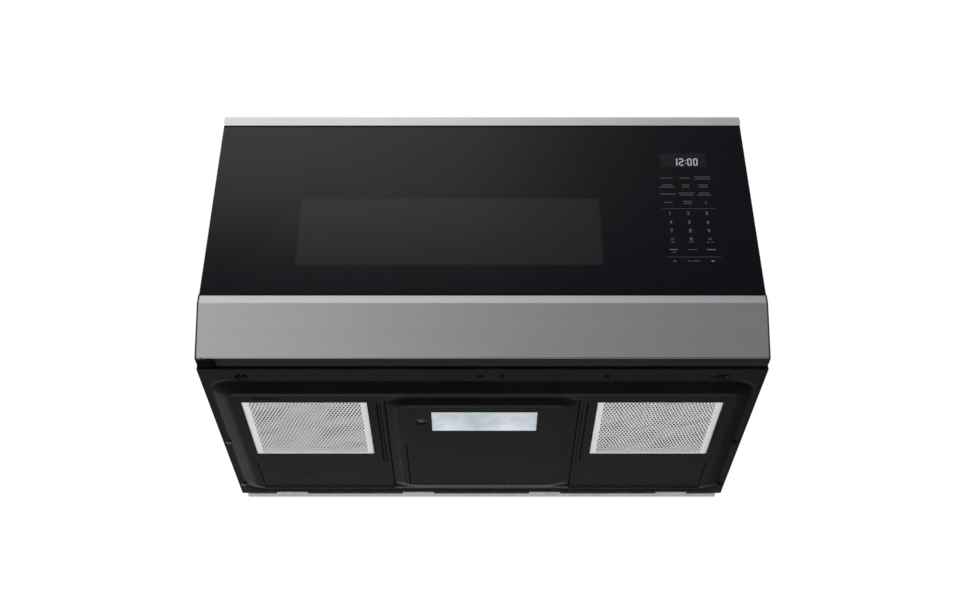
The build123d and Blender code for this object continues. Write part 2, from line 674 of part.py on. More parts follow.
def vent_grille():
    """Moulded black grille behind the top trim, with louvres across its top."""
    x = (LEFT + SHEET, RIGHT - SHEET)
    y = (FRONT + SHEET + FIT, CASE_FRONT - FIT)
    z = (TRIM_BOTTOM, TRIM_TOP - SHEET - FIT)
    inside_z = grow(z, -GRILLE_WALL)
    grille = block(x, y, z) - block(grow(x, -GRILLE_WALL), (y[0] + GRILLE_WALL, CASE_FRONT), inside_z)
    notch_y = (PIVOT_Y - BRACKET_NOSE - AIR, CASE_FRONT)
    grille = grille - block(grow(bracket_span(), AIR), notch_y, (0, bracket_levels()[1][1] + AIR))
    count = int((x[1] - x[0] - LOUVRE_PITCH) / LOUVRE_PITCH)
    louvre_y = (y[1] - LOUVRE_LENGTH - GRILLE_WALL, y[1] - GRILLE_WALL)
    slots = [
        patch(around((index - (count - 1) / 2) * LOUVRE_PITCH, LOUVRE_WIDTH), louvre_y)
        for index in range(count)
    ]
    return grille - level(Sketch() + slots, (inside_z[1] - SHEET, HEIGHT))


def top_trim():
    """Stainless strip over the door, with a return along its top."""
    face = upright(patch((LEFT, RIGHT), (TRIM_BOTTOM, TRIM_TOP), FRAME_WALL), (FRONT, FRONT + SHEET))
    back = FRONT + CAP_DEPTH / 2
    lip = block(grow((LEFT, RIGHT), -FRAME_WALL), (FRONT + SHEET, back), (TRIM_TOP - SHEET, TRIM_TOP))
    return face + lip


def charcoal_filter():
    """Odour filter standing on the oven's roof behind the front frame."""
    y = (IN_FRONT + CHARCOAL_SETBACK, IN_FRONT + CHARCOAL_SETBACK + CHARCOAL_THICKNESS)
    x = around(CAVITY_X, CHARCOAL_WIDTH)
    z = (OVER_CAVITY, OVER_CAVITY + CHARCOAL_HEIGHT)
    pad = upright(patch(x, z, FRAME_WALL), y)
    cell_x = (CHARCOAL_WIDTH - CHARCOAL_RIB) / CHARCOAL_COLUMN_COUNT
    cell_z = (CHARCOAL_HEIGHT - CHARCOAL_RIB) / CHARCOAL_ROW_COUNT
    cell = Rectangle(cell_x - CHARCOAL_RIB, cell_z - CHARCOAL_RIB)
    places = GridLocations(cell_x, cell_z, CHARCOAL_COLUMN_COUNT, CHARCOAL_ROW_COUNT)
    middle = Pos(CAVITY_X, (z[0] + z[1]) / 2)
    cells = [middle * place * cell for place in places]
    return pad - upright(Sketch() + cells, (y[0], y[0] + CHARCOAL_THICKNESS / 3))


def cord_bushing():
    """Rubber grommet of the power cord in the top of the case."""
    span = (HEIGHT - SHEET - FIT / 2, HEIGHT)
    at = (CORD_X, CASE_BACK - CORD_SETBACK)
    low = (span[0] - CORD_FLANGE_THICKNESS, span[0])
    neck = level(disc(at, CORD_NECK), span)
    tube = level(disc(at, CORD_NECK), (low[0] - NUT_HEIGHT, low[0]))
    bush = neck + level(disc(at, CORD_FLANGE), low) + tube
    return bush - level(disc(at, CORD_BORE), (0, HEIGHT + SHEET))


# ------------------------------------------------------------------ hinges
def bracket_span():
    """Left and right side of both hinge brackets."""
    left = IN_LEFT + SHEET + FIT
    return left, left + BRACKET_WIDTH


def bracket_levels():
    """Underside and top of the lower and the upper bracket's plate."""
    low = RIM_Z + SHEET + FIT
    high = TRIM_BOTTOM + FIT
    return (low, low + BRACKET_THICKNESS), (high, high + BRACKET_THICKNESS)


def hinge_bracket(plate_z, leg_z, pin_z, inner_front):
    """Steel bracket: plate under or over the door, leg behind the front frame, riveted pin."""
    x = bracket_span()
    nose = PIVOT_Y - BRACKET_NOSE
    leg_back = inner_front + BRACKET_THICKNESS
    plate = level(patch(x, (nose, leg_back), 0), plate_z)
    corner = plate.edges().filter_by(Axis.Z).group_by(Axis.Y)[0]
    plate = fillet(corner, BRACKET_NOSE / 2)
    leg = block(x, (inner_front, leg_back), leg_z)
    pin = level(disc((PIVOT_X, PIVOT_Y), PIN_RADIUS), pin_z)
    return plate + leg + pin


def lower_hinge():
    """Bracket seen under the left end of the door."""
    low, high = bracket_levels()[0]
    inner = IN_FRONT + SHEET + FIT
    return hinge_bracket((low, high), (low, low + BRACKET_LEG), (high, high + PIN_LENGTH), inner)


def upper_hinge():
    """Bracket between the door and the vent grille."""
    low, high = bracket_levels()[1]
    return hinge_bracket((low, high), (high - BRACKET_LEG, high), (low - PIN_LENGTH, low), IN_FRONT)


def door_bushings():
    """Flanged bushings in the door that turn on the hinge pins."""
    at = (PIVOT_X, PIVOT_Y)
    bore = disc(at, PIN_RADIUS + RUN_FIT)
    sleeve = disc(at, PIN_RADIUS + BUSH_WALL) - bore
    flange = disc(at, BUSH_FLANGE_RADIUS) - bore
    low = level(sleeve, (DOOR_BOTTOM, DOOR_BOTTOM + BUSH_LENGTH))
    low = low + level(flange, (DOOR_BOTTOM - BUSH_FLANGE, DOOR_BOTTOM - FIT / 2))
    low = low + level(sleeve, (DOOR_BOTTOM - FIT, DOOR_BOTTOM))
    high = level(sleeve, (DOOR_TOP - BUSH_LENGTH, DOOR_TOP))
    return Compound(children=[low, high])


# ------------------------------------------------------------------ door
def door_outline(inset):
    """Side outline of the door, drawn in by an inset at its front and underside only."""
    far = DOOR_BACK + DOOR_DEPTH
    foot = FRONT + BAND_LEAN
    outline = Polygon(
        (FRONT, DOOR_TOP + DOOR_DEPTH),
        (FRONT, BAND_TOP - BAND_LIP),
        (foot, DOOR_BOTTOM),
        (far, DOOR_BOTTOM),
        (far, DOOR_TOP + DOOR_DEPTH),
        align=None,
    )
    if inset:
        outline = offset(outline, -inset, kind=Kind.INTERSECTION)
    return outline


def door_glass():
    """Black front glass over the whole door."""
    x = grow((LEFT, RIGHT), -GLASS_SIDE_STEP)
    face = patch(x, (BAND_TOP + GLASS_SEAM, DOOR_TOP), GLASS_CORNER)
    glass = upright(face, (FRONT, FRONT + GLASS_THICKNESS))
    return chamfer(glass.faces().sort_by(Axis.Y)[0].edges(), GLASS_SEAM)


def door_band():
    """Stainless band: upright lip, leaning face and a hem under the door."""
    zone = patch((FRONT, FRONT + BAND_LEAN + BAND_HEM), (DOOR_BOTTOM, BAND_TOP))
    lip = patch((FRONT, FRONT + BAND_RETURN), (BAND_TOP - SHEET, BAND_TOP))
    section = (door_outline(0) - door_outline(SHEET) + lip) & zone
    band = lengthwise(section, grow((LEFT, RIGHT), -CAP_THICKNESS - FIT))
    notch = (PIVOT_Y - BUSH_FLANGE_RADIUS - AIR, PIVOT_Y + BUSH_FLANGE_RADIUS)
    return band - block((LEFT, PIVOT_X + BUSH_FLANGE_RADIUS + AIR), notch, (0, DOOR_BOTTOM + 2 * SHEET))


def door_end_caps():
    """Black caps that close the band at both ends."""
    section = door_outline(0) & patch((FRONT, FRONT + CAP_DEPTH), (DOOR_BOTTOM, BAND_TOP))
    left = lengthwise(section, (LEFT, LEFT + CAP_THICKNESS))
    right = lengthwise(section, (RIGHT - CAP_THICKNESS, RIGHT))
    return Compound(children=[left, right])


def choke_spans(inset):
    """Outline of the choke around the oven opening, drawn in by an inset."""
    x = grow((CAVITY_LEFT, CAVITY_RIGHT), CHOKE_LAP - inset)
    return x, grow((CAVITY_FLOOR, CAVITY_TOP), CHOKE_LAP - inset)


def control_openings():
    """Spans of the keypad board's and the display's openings behind the glass."""
    display_z = (DOOR_TOP - DISPLAY_DROP - DISPLAY_HEIGHT, DOOR_TOP - DISPLAY_DROP)
    pad_z = (display_z[0] - DISPLAY_GAP - KEYPAD_HEIGHT, display_z[0] - DISPLAY_GAP)
    return (around(CONTROL_X, KEYPAD_WIDTH), pad_z), (around(CONTROL_X, DISPLAY_WIDTH), display_z)


def frame_section():
    """Y-Z section of the moulded door frame, solid."""
    section = door_outline(SHEET + FIT) & patch((FRONT, DOOR_BACK), (0, DOOR_TOP))
    section = section - patch((FRONT, WEB_FRONT), (BAND_TOP - SHEET - FIT, HEIGHT))
    return section + patch((FRONT + CAP_DEPTH + FIT, DOOR_BACK), (DOOR_BOTTOM, DOOR_BOTTOM + FRAME_WALL))


def hinge_blocks():
    """Solid corners of the door frame that hold the bushings."""
    x = (LEFT + FRAME_WALL / 2, LEFT + HINGE_BLOCK)
    y = (PIVOT_Y - HINGE_BLOCK / 2, DOOR_BACK - FRAME_WALL)
    low = block(x, y, (DOOR_BOTTOM + FRAME_WALL / 2, DOOR_BOTTOM + HINGE_BLOCK))
    high = block(x, y, (DOOR_TOP - HINGE_BLOCK, DOOR_TOP - FRAME_WALL / 2))
    return low + high


def frame_inner():
    """Door frame's collar round the window, key guides and spring post."""
    walls = (FRONT, PANEL_WELL[0] - FIT)
    outer_x, outer_z = choke_spans(COLLAR_INSET)
    collar = patch(outer_x, outer_z) - patch(grow(outer_x, -FRAME_WALL), grow(outer_z, -FRAME_WALL))
    pieces = [upright(collar, walls)]
    key_back = FRONT + LATCH_SETBACK + LATCH_BAR_DEPTH
    guide_z = around(HOOKS[0] + HOOK_SPACING / 3, GUIDE_LENGTH)
    for side in (-1, 1):
        near = LATCH_X + side * (LATCH_BAR / 2 + AIR)
        x = sorted((near, near + side * GUIDE_WALL))
        pieces.append(block(x, (FRONT, key_back), guide_z))
    post_top = HOOKS[0] - KEY_TAIL - SPRING_LENGTH - 2 * FIT
    post_x = around(LATCH_X, 2 * SPRING_RADIUS)
    pieces.append(block(post_x, (FRONT, key_back), (post_top - GUIDE_WALL, post_top)))
    return join(pieces)


def door_frame():
    """Moulded frame of the door: web behind the glass, side walls, collar and latch guides."""
    solid = lengthwise(frame_section(), (LEFT, RIGHT))
    corner = [
        edge
        for edge in solid.edges().filter_by(Axis.Z)
        if abs(edge.center().X - LEFT) < FIT and abs(edge.center().Y - DOOR_BACK) < FIT
    ]
    solid = fillet(corner, HINGE_CORNER)
    hollow = door_outline(SHEET + FIT + FRAME_WALL)
    hollow = hollow & patch((FRONT, DOOR_BACK + SHEET), (DOOR_BOTTOM + FRAME_WALL, DOOR_TOP - FRAME_WALL))
    hollow = hollow - patch((FRONT, WEB_BACK), (BAND_TOP - FRAME_WALL, HEIGHT))
    frame = solid - lengthwise(hollow, grow((LEFT, RIGHT), -FRAME_WALL))
    frame = frame + ((hinge_blocks() + frame_inner()) & solid)
    web = (FRONT, WEB_BACK + SHEET)
    window = patch(grow(WINDOW_SPAN, WINDOW_MARGIN), grow(WINDOW_Z, WINDOW_MARGIN), OPENING_CORNER)
    frame = frame - upright(window, web)
    for x, z in control_openings():
        frame = frame - upright(patch(x, z), web)
    cap_zone = (DOOR_BOTTOM - SHEET, BAND_TOP + FIT)
    depth = (FRONT - SHEET, FRONT + CAP_DEPTH + FIT)
    for x in ((LEFT - SHEET, LEFT + CAP_THICKNESS + FIT), (RIGHT - CAP_THICKNESS - FIT, RIGHT + SHEET)):
        frame = frame - block(x, depth, cap_zone)
    sleeve = disc((PIVOT_X, PIVOT_Y), PIN_RADIUS + BUSH_WALL + RUN_FIT)
    frame = frame - level(sleeve, (0, DOOR_BOTTOM + HINGE_BLOCK))
    return frame - level(sleeve, (DOOR_TOP - HINGE_BLOCK, HEIGHT))


def door_panel():
    """Steel panel facing the oven: choke channel round a raised middle, teeth along its wall."""
    x, z = choke_spans(0)
    well = upright(patch(x, z, 2 * SHEET), PANEL_WELL)
    channel = upright(
        patch(grow(x, -CHOKE_SHEET), grow(z, -CHOKE_SHEET)),
        (PANEL_WELL[0] + CHOKE_SHEET, DOOR_BACK),
    )
    raised_x, raised_z = choke_spans(CHOKE_WIDTH)
    raised = upright(patch(raised_x, raised_z, OPENING_CORNER), (PANEL_WELL[0], PLATEAU + CHOKE_SHEET))
    under_x, under_z = choke_spans(CHOKE_WIDTH + CHOKE_SHEET)
    under = upright(patch(under_x, under_z, OPENING_CORNER), (PANEL_WELL[0] - SHEET, PLATEAU))
    panel = well - channel + raised - under
    window = patch(grow(WINDOW_SPAN, WINDOW_MARGIN), grow(WINDOW_Z, WINDOW_MARGIN))
    panel = panel - upright(window, (PANEL_WELL[0], DOOR_BACK))
    return panel - choke_slots(x, z)


def choke_slots(x, z):
    """Rows of slots that cut the choke's outer wall into teeth."""
    depth = (PANEL_WELL[1] - CHOKE_SLOT_DEPTH, DOOR_BACK)
    slots = []
    across = int((x[1] - x[0]) / CHOKE_SLOT_PITCH) - 1
    for index in range(across):
        middle = (x[0] + x[1]) / 2 + (index - (across - 1) / 2) * CHOKE_SLOT_PITCH
        for edge in z:
            slots.append(block(around(middle, CHOKE_SLOT), depth, around(edge, 4 * CHOKE_SHEET)))
    up = int((z[1] - z[0]) / CHOKE_SLOT_PITCH) - 1
    for index in range(up):
        middle = (z[0] + z[1]) / 2 + (index - (up - 1) / 2) * CHOKE_SLOT_PITCH
        for edge in x:
            slots.append(block(around(edge, 4 * CHOKE_SHEET), depth, around(middle, CHOKE_SLOT)))
    return slots


def door_screen():
    """Perforated screen behind the window, on the front of the panel's raised middle."""
    lap = WINDOW_MARGIN + SCREEN_LAP
    y = (PLATEAU - FIT - SCREEN_THICKNESS, PLATEAU - FIT)
    return upright(patch(grow(WINDOW_SPAN, lap), grow(WINDOW_Z, lap)), y)


def inner_window():
    """Clear sheet on the oven side of the panel."""
    x, z = choke_spans(CHOKE_WIDTH + CHOKE_COVER_WALL + FIT)
    start = PLATEAU + CHOKE_SHEET + FIT
    return upright(patch(x, z, OPENING_CORNER), (start, start + INNER_WINDOW_THICKNESS))


def choke_cover():
    """Plastic ring that covers the choke channel and frames the inner window."""
    x, z = choke_spans(CHOKE_SHEET + FIT)
    y = (DOOR_BACK - CHOKE_COVER_THICKNESS, DOOR_BACK)
    inner_x, inner_z = choke_spans(CHOKE_WIDTH + CHOKE_COVER_WALL)
    hole = patch(inner_x, inner_z, OPENING_CORNER)
    plate = upright(patch(x, z, OPENING_CORNER) - hole, y)
    wall_x, wall_z = choke_spans(CHOKE_WIDTH)
    wall = patch(wall_x, wall_z, OPENING_CORNER + CHOKE_COVER_WALL) - hole
    return plate + upright(wall, (PLATEAU + CHOKE_SHEET + FIT, y[1]))


def door_back_cover():
    """Plastic back of the door, round the steel panel."""
    x = grow((LEFT, RIGHT), -FRAME_WALL - FIT)
    z = (DOOR_BOTTOM + SHEET + FRAME_WALL + 2 * FIT, DOOR_TOP - FRAME_WALL - FIT)
    hole_x, hole_z = choke_spans(-FIT)
    cover = patch(x, z, FRAME_WALL) - patch(hole_x, hole_z, 2 * SHEET)
    for hook in HOOKS:
        low, high = hook_span(hook)
        slot = (low - AIR, high + KEY_TRAVEL + AIR)
        cover = cover - patch(around(LATCH_X, LATCH_BAR + 4 * AIR), slot)
    return upright(cover, (DOOR_BACK - BACK_COVER_THICKNESS, DOOR_BACK))


def control_board():
    """Touch-key board behind the glass, with its chips."""
    x, z = control_openings()[0]
    x, z = grow(x, -FIT), grow(z, -FIT)
    start = FRONT + GLASS_THICKNESS + FIT
    board = upright(patch(x, z), (start, start + BOARD_THICKNESS))
    middle = (z[0] + z[1]) / 2
    chips = (start + BOARD_THICKNESS - FIT, start + 3 * BOARD_THICKNESS)
    board = board + block(around(CONTROL_X, KEYPAD_WIDTH / 4), chips, around(middle, KEYPAD_WIDTH / 4))
    plug_z = around(z[0] + KEYPAD_HEIGHT / 6, KEYPAD_HEIGHT / 9)
    return board + block(around(CONTROL_X, KEYPAD_WIDTH / 2), chips, plug_z)


def display_module():
    """Clock display in its own frame behind the glass."""
    x, z = control_openings()[1]
    x, z = grow(x, -FIT), grow(z, -FIT)
    start = FRONT + GLASS_THICKNESS + FIT
    module = upright(patch(x, z, SHEET), (start, start + DISPLAY_DEPTH))
    face = patch(grow(x, -FRAME_WALL), grow(z, -FRAME_WALL), SHEET)
    return module - upright(face, (start - FIT, start + SHEET))


# ------------------------------------------------------------------ latch
def hook_span(z):
    """Lowest and highest place of a hook, its nose included."""
    return z - HOOK_NOSE, z + HOOK_HEIGHT


def hook_window(z):
    """Height of the window that a hook goes through."""
    low, high = hook_span(z)
    return low - 2 * AIR, high + KEY_TRAVEL + 2 * AIR


def latch_key():
    """Key bar inside the door with two hooks through its back."""
    y = (FRONT + LATCH_SETBACK, FRONT + LATCH_SETBACK + LATCH_BAR_DEPTH)
    z = (HOOKS[0] - KEY_TAIL, HOOKS[1] + HOOK_HEIGHT + KEY_TAIL)
    section = patch(y, z)
    for low in HOOKS:
        top = low + HOOK_HEIGHT
        nose = HOOK_TIP - HOOK_NOSE_LENGTH
        section = section + Polygon(
            (y[1] - SHEET, low),
            (nose, low),
            (nose, low - HOOK_NOSE),
            (HOOK_TIP - HOOK_NOSE_LENGTH / 3, low - HOOK_NOSE),
            (HOOK_TIP, low),
            (HOOK_TIP, top),
            (y[1] - SHEET, top),
            align=None,
        )
    return lengthwise(section, around(LATCH_X, LATCH_BAR))


def latch_spring():
    """Spring between the foot of the key and its post, drawn as its sleeve."""
    y = FRONT + LATCH_SETBACK + LATCH_BAR_DEPTH / 2
    ring = disc((LATCH_X, y), SPRING_RADIUS) - disc((LATCH_X, y), SPRING_RADIUS - SPRING_WALL)
    top = HOOKS[0] - KEY_TAIL - FIT
    return level(ring, (top - SPRING_LENGTH, top))


def latch_body():
    """Moulded latch housing behind the front frame, with a window for each hook."""
    z = (HOOKS[0] - LATCH_BODY_MARGIN, HOOKS[1] + HOOK_HEIGHT + LATCH_BODY_MARGIN)
    y = (IN_FRONT, IN_FRONT + LATCH_BODY_DEPTH)
    body = block(around(LATCH_X, LATCH_BODY_WIDTH), y, z)
    for low in HOOKS:
        body = body - block(around(LATCH_X, LATCH_WINDOW), grow(y, SHEET), hook_window(low))
    waist = grow((hook_window(HOOKS[0])[1], hook_window(HOOKS[1])[0]), -LATCH_BODY_MARGIN / 2)
    side = (LATCH_X - LATCH_BODY_WIDTH, LATCH_X)
    return body - block(side, (y[0] + FRAME_WALL, y[1] + SHEET), waist)


def plunger_places():
    """Y of the plungers' front and Z of each."""
    return HOOK_TIP + PLUNGER_GAP, [low + HOOK_HEIGHT / 2 for low in HOOKS]


def interlock_switches():
    """Two door switches behind the latch windows."""
    front, heights = plunger_places()
    start = front + PLUNGER_OUT
    bore_end = start + PLUNGER_BORE_DEPTH
    bodies = []
    ear_x = around(LATCH_X, LATCH_BODY_WIDTH)
    ear_y = (max(start, IN_FRONT + LATCH_BODY_DEPTH + FIT), start + SWITCH_LENGTH / 2)
    for z in heights:
        height = around(z, SWITCH_HEIGHT)
        body = block(around(LATCH_X, SWITCH_WIDTH), (start, start + SWITCH_LENGTH), height)
        bore = disc((LATCH_X, z), PLUNGER_RADIUS + RUN_FIT)
        bodies.append(body + block(ear_x, ear_y, height) - upright(bore, (start - SHEET, bore_end)))
    return Compound(children=bodies)


def switch_plungers():
    """Buttons of the door switches, pushed in by the hooks."""
    front, heights = plunger_places()
    inner_end = front + PLUNGER_OUT + PLUNGER_BORE_DEPTH - PLUNGER_TRAVEL - AIR
    return Compound(
        children=[upright(disc((LATCH_X, z), PLUNGER_RADIUS), (front, inner_end)) for z in heights]
    )


# ------------------------------------------------------------------ oven
def cavity_box(out):
    """Oven cavity as a solid, each wall moved out, with rounded rear corners."""
    shape = block(
        grow((CAVITY_LEFT, CAVITY_RIGHT), out),
        (CAVITY_FRONT, CAVITY_BACK + out),
        grow((CAVITY_FLOOR, CAVITY_TOP), out),
    )
    return fillet(shape.edges().filter_by(Axis.Z).group_by(Axis.Y)[-1], CAVITY_CORNER + out)


def lamp_slots():
    """Slots in the cavity's left wall in front of its lamp."""
    slots = []
    for index in range(LAMP_SLOT_COUNT):
        z = CAVITY_TOP - CAVITY_HEIGHT / 4 + (index - (LAMP_SLOT_COUNT - 1) / 2) * LAMP_SLOT_PITCH
        y = around(TURN_Y, LAMP_SLOT_LENGTH)
        slots.append(block(grow((CAVITY_LEFT, CAVITY_LEFT), 2 * SHEET), y, around(z, LAMP_SLOT_WIDTH)))
    return slots


def cavity_shell():
    """Sheet steel oven box, open at the front, with the flange that joins the front frame."""
    shell = cavity_box(CAVITY_SHEET) - cavity_box(0)
    x, z = (CAVITY_LEFT, CAVITY_RIGHT), (CAVITY_FLOOR, CAVITY_TOP)
    rim = patch(grow(x, CAVITY_FLANGE), grow(z, CAVITY_FLANGE)) - patch(x, z)
    shell = shell + upright(rim, (CAVITY_FRONT, CAVITY_FRONT + CAVITY_SHEET))
    hub = disc((CAVITY_X, TURN_Y), COUPLER_HUB)
    shell = shell - level(hub, (CAVITY_FLOOR - 2 * SHEET, CAVITY_FLOOR + SHEET))
    port_x = grow((CAVITY_RIGHT, CAVITY_RIGHT), 2 * SHEET)
    shell = shell - block(port_x, around(WAVEGUIDE_Y, PORT_WIDTH), around(PORT_Z, PORT_HEIGHT))
    return shell - lamp_slots()


def cavity_lamp():
    """Lamp of the oven, outside its left wall."""
    out = CAVITY_LEFT - CAVITY_SHEET - FIT
    z = CAVITY_TOP - CAVITY_HEIGHT / 4
    size = LAMP_SLOT_COUNT * LAMP_SLOT_PITCH + 2 * FRAME_WALL
    y, heights = around(TURN_Y, size), around(z, size)
    box = block((out - size, out), y, heights)
    inner_x = (out - size + FRAME_WALL, out + SHEET)
    inside = block(inner_x, grow(y, -FRAME_WALL / 2), grow(heights, -FRAME_WALL / 2))
    bulb = block((out - size + SHEET, out - size / 3), around(TURN_Y, size / 3), around(z, size / 3))
    return box - inside + bulb


def turntable_motor():
    """Flat motor under the cavity floor."""
    top = CAVITY_FLOOR - CAVITY_SHEET - FIT
    at = (CAVITY_X, TURN_Y)
    motor = level(disc(at, TRAY_MOTOR_RADIUS), (top - TRAY_MOTOR_HEIGHT, top))
    ear_x = around(CAVITY_X, 2 * (TRAY_MOTOR_RADIUS + TRAY_MOTOR_EAR))
    ears = patch(ear_x, around(TURN_Y, 2 * TRAY_MOTOR_EAR), FRAME_WALL)
    motor = motor + level(ears, (top - SHEET, top))
    return motor - level(disc(at, MOTOR_SHAFT + RUN_FIT), (top - TRAY_MOTOR_HEIGHT / 2, top + SHEET))


def turntable_coupler():
    """Three-leafed driver on the motor's shaft, under the tray."""
    at = (CAVITY_X, TURN_Y)
    low, top = CAVITY_FLOOR + AIR, TRAY_UNDER - FIT
    motor_top = CAVITY_FLOOR - CAVITY_SHEET - FIT
    leaf = patch((0, COUPLER_RADIUS), around(0, COUPLER_LEAF), 0)
    leaves = [Pos(*at) * Rot(0, 0, turn) * leaf for turn in (90, 210, 330)]
    hub = level(disc(at, COUPLER_HUB - SHEET), (low, top))
    shaft = level(disc(at, MOTOR_SHAFT), (motor_top - TRAY_MOTOR_HEIGHT / 2 + AIR, low))
    return hub + level(Sketch() + leaves, (top - FRAME_WALL, top)) + shaft


def turntable_tray():
    """Glass tray with a raised rim and three lugs for the coupler."""
    low, step = TRAY_UNDER, TRAY_THICKNESS
    outer, inner = TRAY_RADIUS, TRAY_RADIUS - TRAY_RIM
    section = Polygon(
        (0, low),
        (inner, low),
        (outer, low + TRAY_RIM),
        (outer, low + TRAY_RIM + step / 2),
        (outer - step, low + TRAY_RIM + step / 2),
        (inner - step / 2, low + step),
        (0, low + step),
        align=None,
    )
    tray = Pos(CAVITY_X, TURN_Y) * revolve(Plane.XZ * section, Axis.Z)
    lug = Pos(COUPLER_RADIUS - FRAME_WALL, 0) * Circle(FRAME_WALL)
    lugs = [Pos(CAVITY_X, TURN_Y) * Rot(0, 0, turn) * lug for turn in (30, 150, 270)]
    return tray + level(Sketch() + lugs, (low - FRAME_WALL, low + SHEET))


def roller_ring():
    """Ring under the tray with a stub axle for each roller."""
    middle = CAVITY_FLOOR + ROLLER_RADIUS + AIR
    outer = ROLLER_TRACK - ROLLER_WIDTH / 2 - AIR
    at = (CAVITY_X, TURN_Y)
    ring = level(disc(at, outer) - disc(at, outer - RING_WIDTH), around(middle, RING_HEIGHT))
    for axle in roller_frames():
        stub = extrude(axle * Circle(AXLE_RADIUS), amount=ROLLER_WIDTH + 2 * AIR + RING_WIDTH / 2)
        tip = axle.offset(ROLLER_WIDTH + 2 * AIR + RING_WIDTH / 2)
        ring = ring + stub + extrude(tip * Circle(AXLE_RADIUS + AXLE_HEAD), amount=AXLE_HEAD)
    return ring


def roller_frames():
    """One plane for each roller: its normal points out along the axle from inside the ring."""
    middle = CAVITY_FLOOR + ROLLER_RADIUS + AIR
    start = ROLLER_TRACK - ROLLER_WIDTH / 2 - AIR - RING_WIDTH / 2
    frames = []
    for index in range(ROLLER_COUNT):
        turn = pi / 2 + 2 * pi * index / ROLLER_COUNT
        out = (cos(turn), sin(turn), 0)
        at = (CAVITY_X + start * out[0], TURN_Y + start * out[1], middle)
        frames.append(Plane(origin=at, z_dir=out))
    return frames


def roller_wheel(index):
    """One roller, free on its stub axle."""
    frame = roller_frames()[index].offset(AIR + RING_WIDTH / 2)
    return extrude(frame * (Circle(ROLLER_RADIUS) - Circle(AXLE_RADIUS + RUN_FIT)), amount=ROLLER_WIDTH)


# ------------------------------------------------------------------ microwave system
def waveguide():
    """Channel on the cavity's right wall that feeds its port."""
    x = (WAVEGUIDE_X, WAVEGUIDE_X + WAVEGUIDE_DEPTH)
    y = around(WAVEGUIDE_Y, WAVEGUIDE_WIDTH)
    z = (WAVEGUIDE_Z, WAVEGUIDE_Z + WAVEGUIDE_HEIGHT)
    inside = block(
        (x[0] - SHEET, x[1] - WAVEGUIDE_SHEET),
        grow(y, -WAVEGUIDE_SHEET),
        grow(z, -WAVEGUIDE_SHEET),
    )
    lip = block((x[0], x[0] + WAVEGUIDE_SHEET), y, grow(z, CAVITY_FLANGE))
    hole = lengthwise(disc((WAVEGUIDE_Y, ANTENNA_Z), ANTENNA_RADIUS + SHEET), (x[0], x[1] + SHEET))
    return block(x, y, z) + lip - inside - hole


def waveguide_cover():
    """Mica sheet over the port, inside the oven."""
    x = (CAVITY_RIGHT - FIT - MICA_THICKNESS, CAVITY_RIGHT - FIT)
    y = around(WAVEGUIDE_Y, PORT_WIDTH + 2 * MICA_LAP)
    return lengthwise(patch(y, around(PORT_Z, PORT_HEIGHT + 2 * MICA_LAP), FRAME_WALL), x)


def magnetron():
    """Magnetron: yoke, cooled anode, antenna and filter box."""
    x = (YOKE_X, YOKE_X + YOKE_LENGTH)
    y, z = around(WAVEGUIDE_Y, YOKE_WIDTH), around(ANTENNA_Z, YOKE_HEIGHT)
    yoke = block(x, y, z) - block(grow(x, -YOKE_PLATE), grow(y, SHEET), grow(z, -YOKE_PLATE))
    centre = disc((WAVEGUIDE_Y, ANTENNA_Z), ANODE_RADIUS)
    tube = yoke + lengthwise(centre, x)
    pitch = (YOKE_LENGTH - 2 * YOKE_PLATE) / (FIN_COUNT + 1)
    for index in range(FIN_COUNT):
        fin_x = around(x[0] + YOKE_PLATE + (index + 1) * pitch, FIN_THICKNESS)
        tube = tube + block(fin_x, grow(y, -YOKE_PLATE), z)
    antenna = disc((WAVEGUIDE_Y, ANTENNA_Z), ANTENNA_RADIUS)
    tube = tube + lengthwise(antenna, (x[0] - ANTENNA_LENGTH, x[0]))
    box_x = (x[1], x[1] + FILTER_BOX_LENGTH)
    return tube + block(box_x, grow(y, -YOKE_PLATE), around(ANTENNA_Z, FILTER_BOX_WIDTH))


def transformer_core():
    """Stacked iron core of the high-voltage transformer, on the shelf."""
    x, y = around(CORE_X, CORE_WIDTH), around(CASE_BACK - CORE_SETBACK, CORE_DEPTH)
    z = (ON_SHELF, ON_SHELF + CORE_HEIGHT)
    core = block(x, y, z)
    for side in (-1, 1):
        near, far = CORE_X + side * CORE_LIMB, x[0] if side < 0 else x[1]
        window = sorted((near, far - side * CORE_LIMB))
        core = core - block(window, grow(y, SHEET), grow(z, -CORE_LIMB))
    feet = level(patch(grow(x, CORE_LIMB / 2), grow(y, -CORE_LIMB)), (ON_SHELF, ON_SHELF + PLATE_SHEET))
    return core + feet


def transformer_coils():
    """Primary and secondary coil round the core's middle limb."""
    y = around(CASE_BACK - CORE_SETBACK, CORE_DEPTH)
    window = (CORE_WIDTH / 2 - 2 * CORE_LIMB) - FIT
    low, high = ON_SHELF + CORE_LIMB + FIT, ON_SHELF + CORE_HEIGHT - CORE_LIMB - FIT
    middle = (low + high) / 2
    inner = patch(around(CORE_X, 2 * (CORE_LIMB + FIT)), grow(y, FIT))
    outer = patch(around(CORE_X, 2 * (CORE_LIMB + window)), grow(y, COIL_OVERHANG), COIL_OVERHANG)
    ring = outer - inner
    lower = level(ring, (low, middle - COIL_GAP / 2))
    return Compound(children=[lower, level(ring, (middle + COIL_GAP / 2, high))])


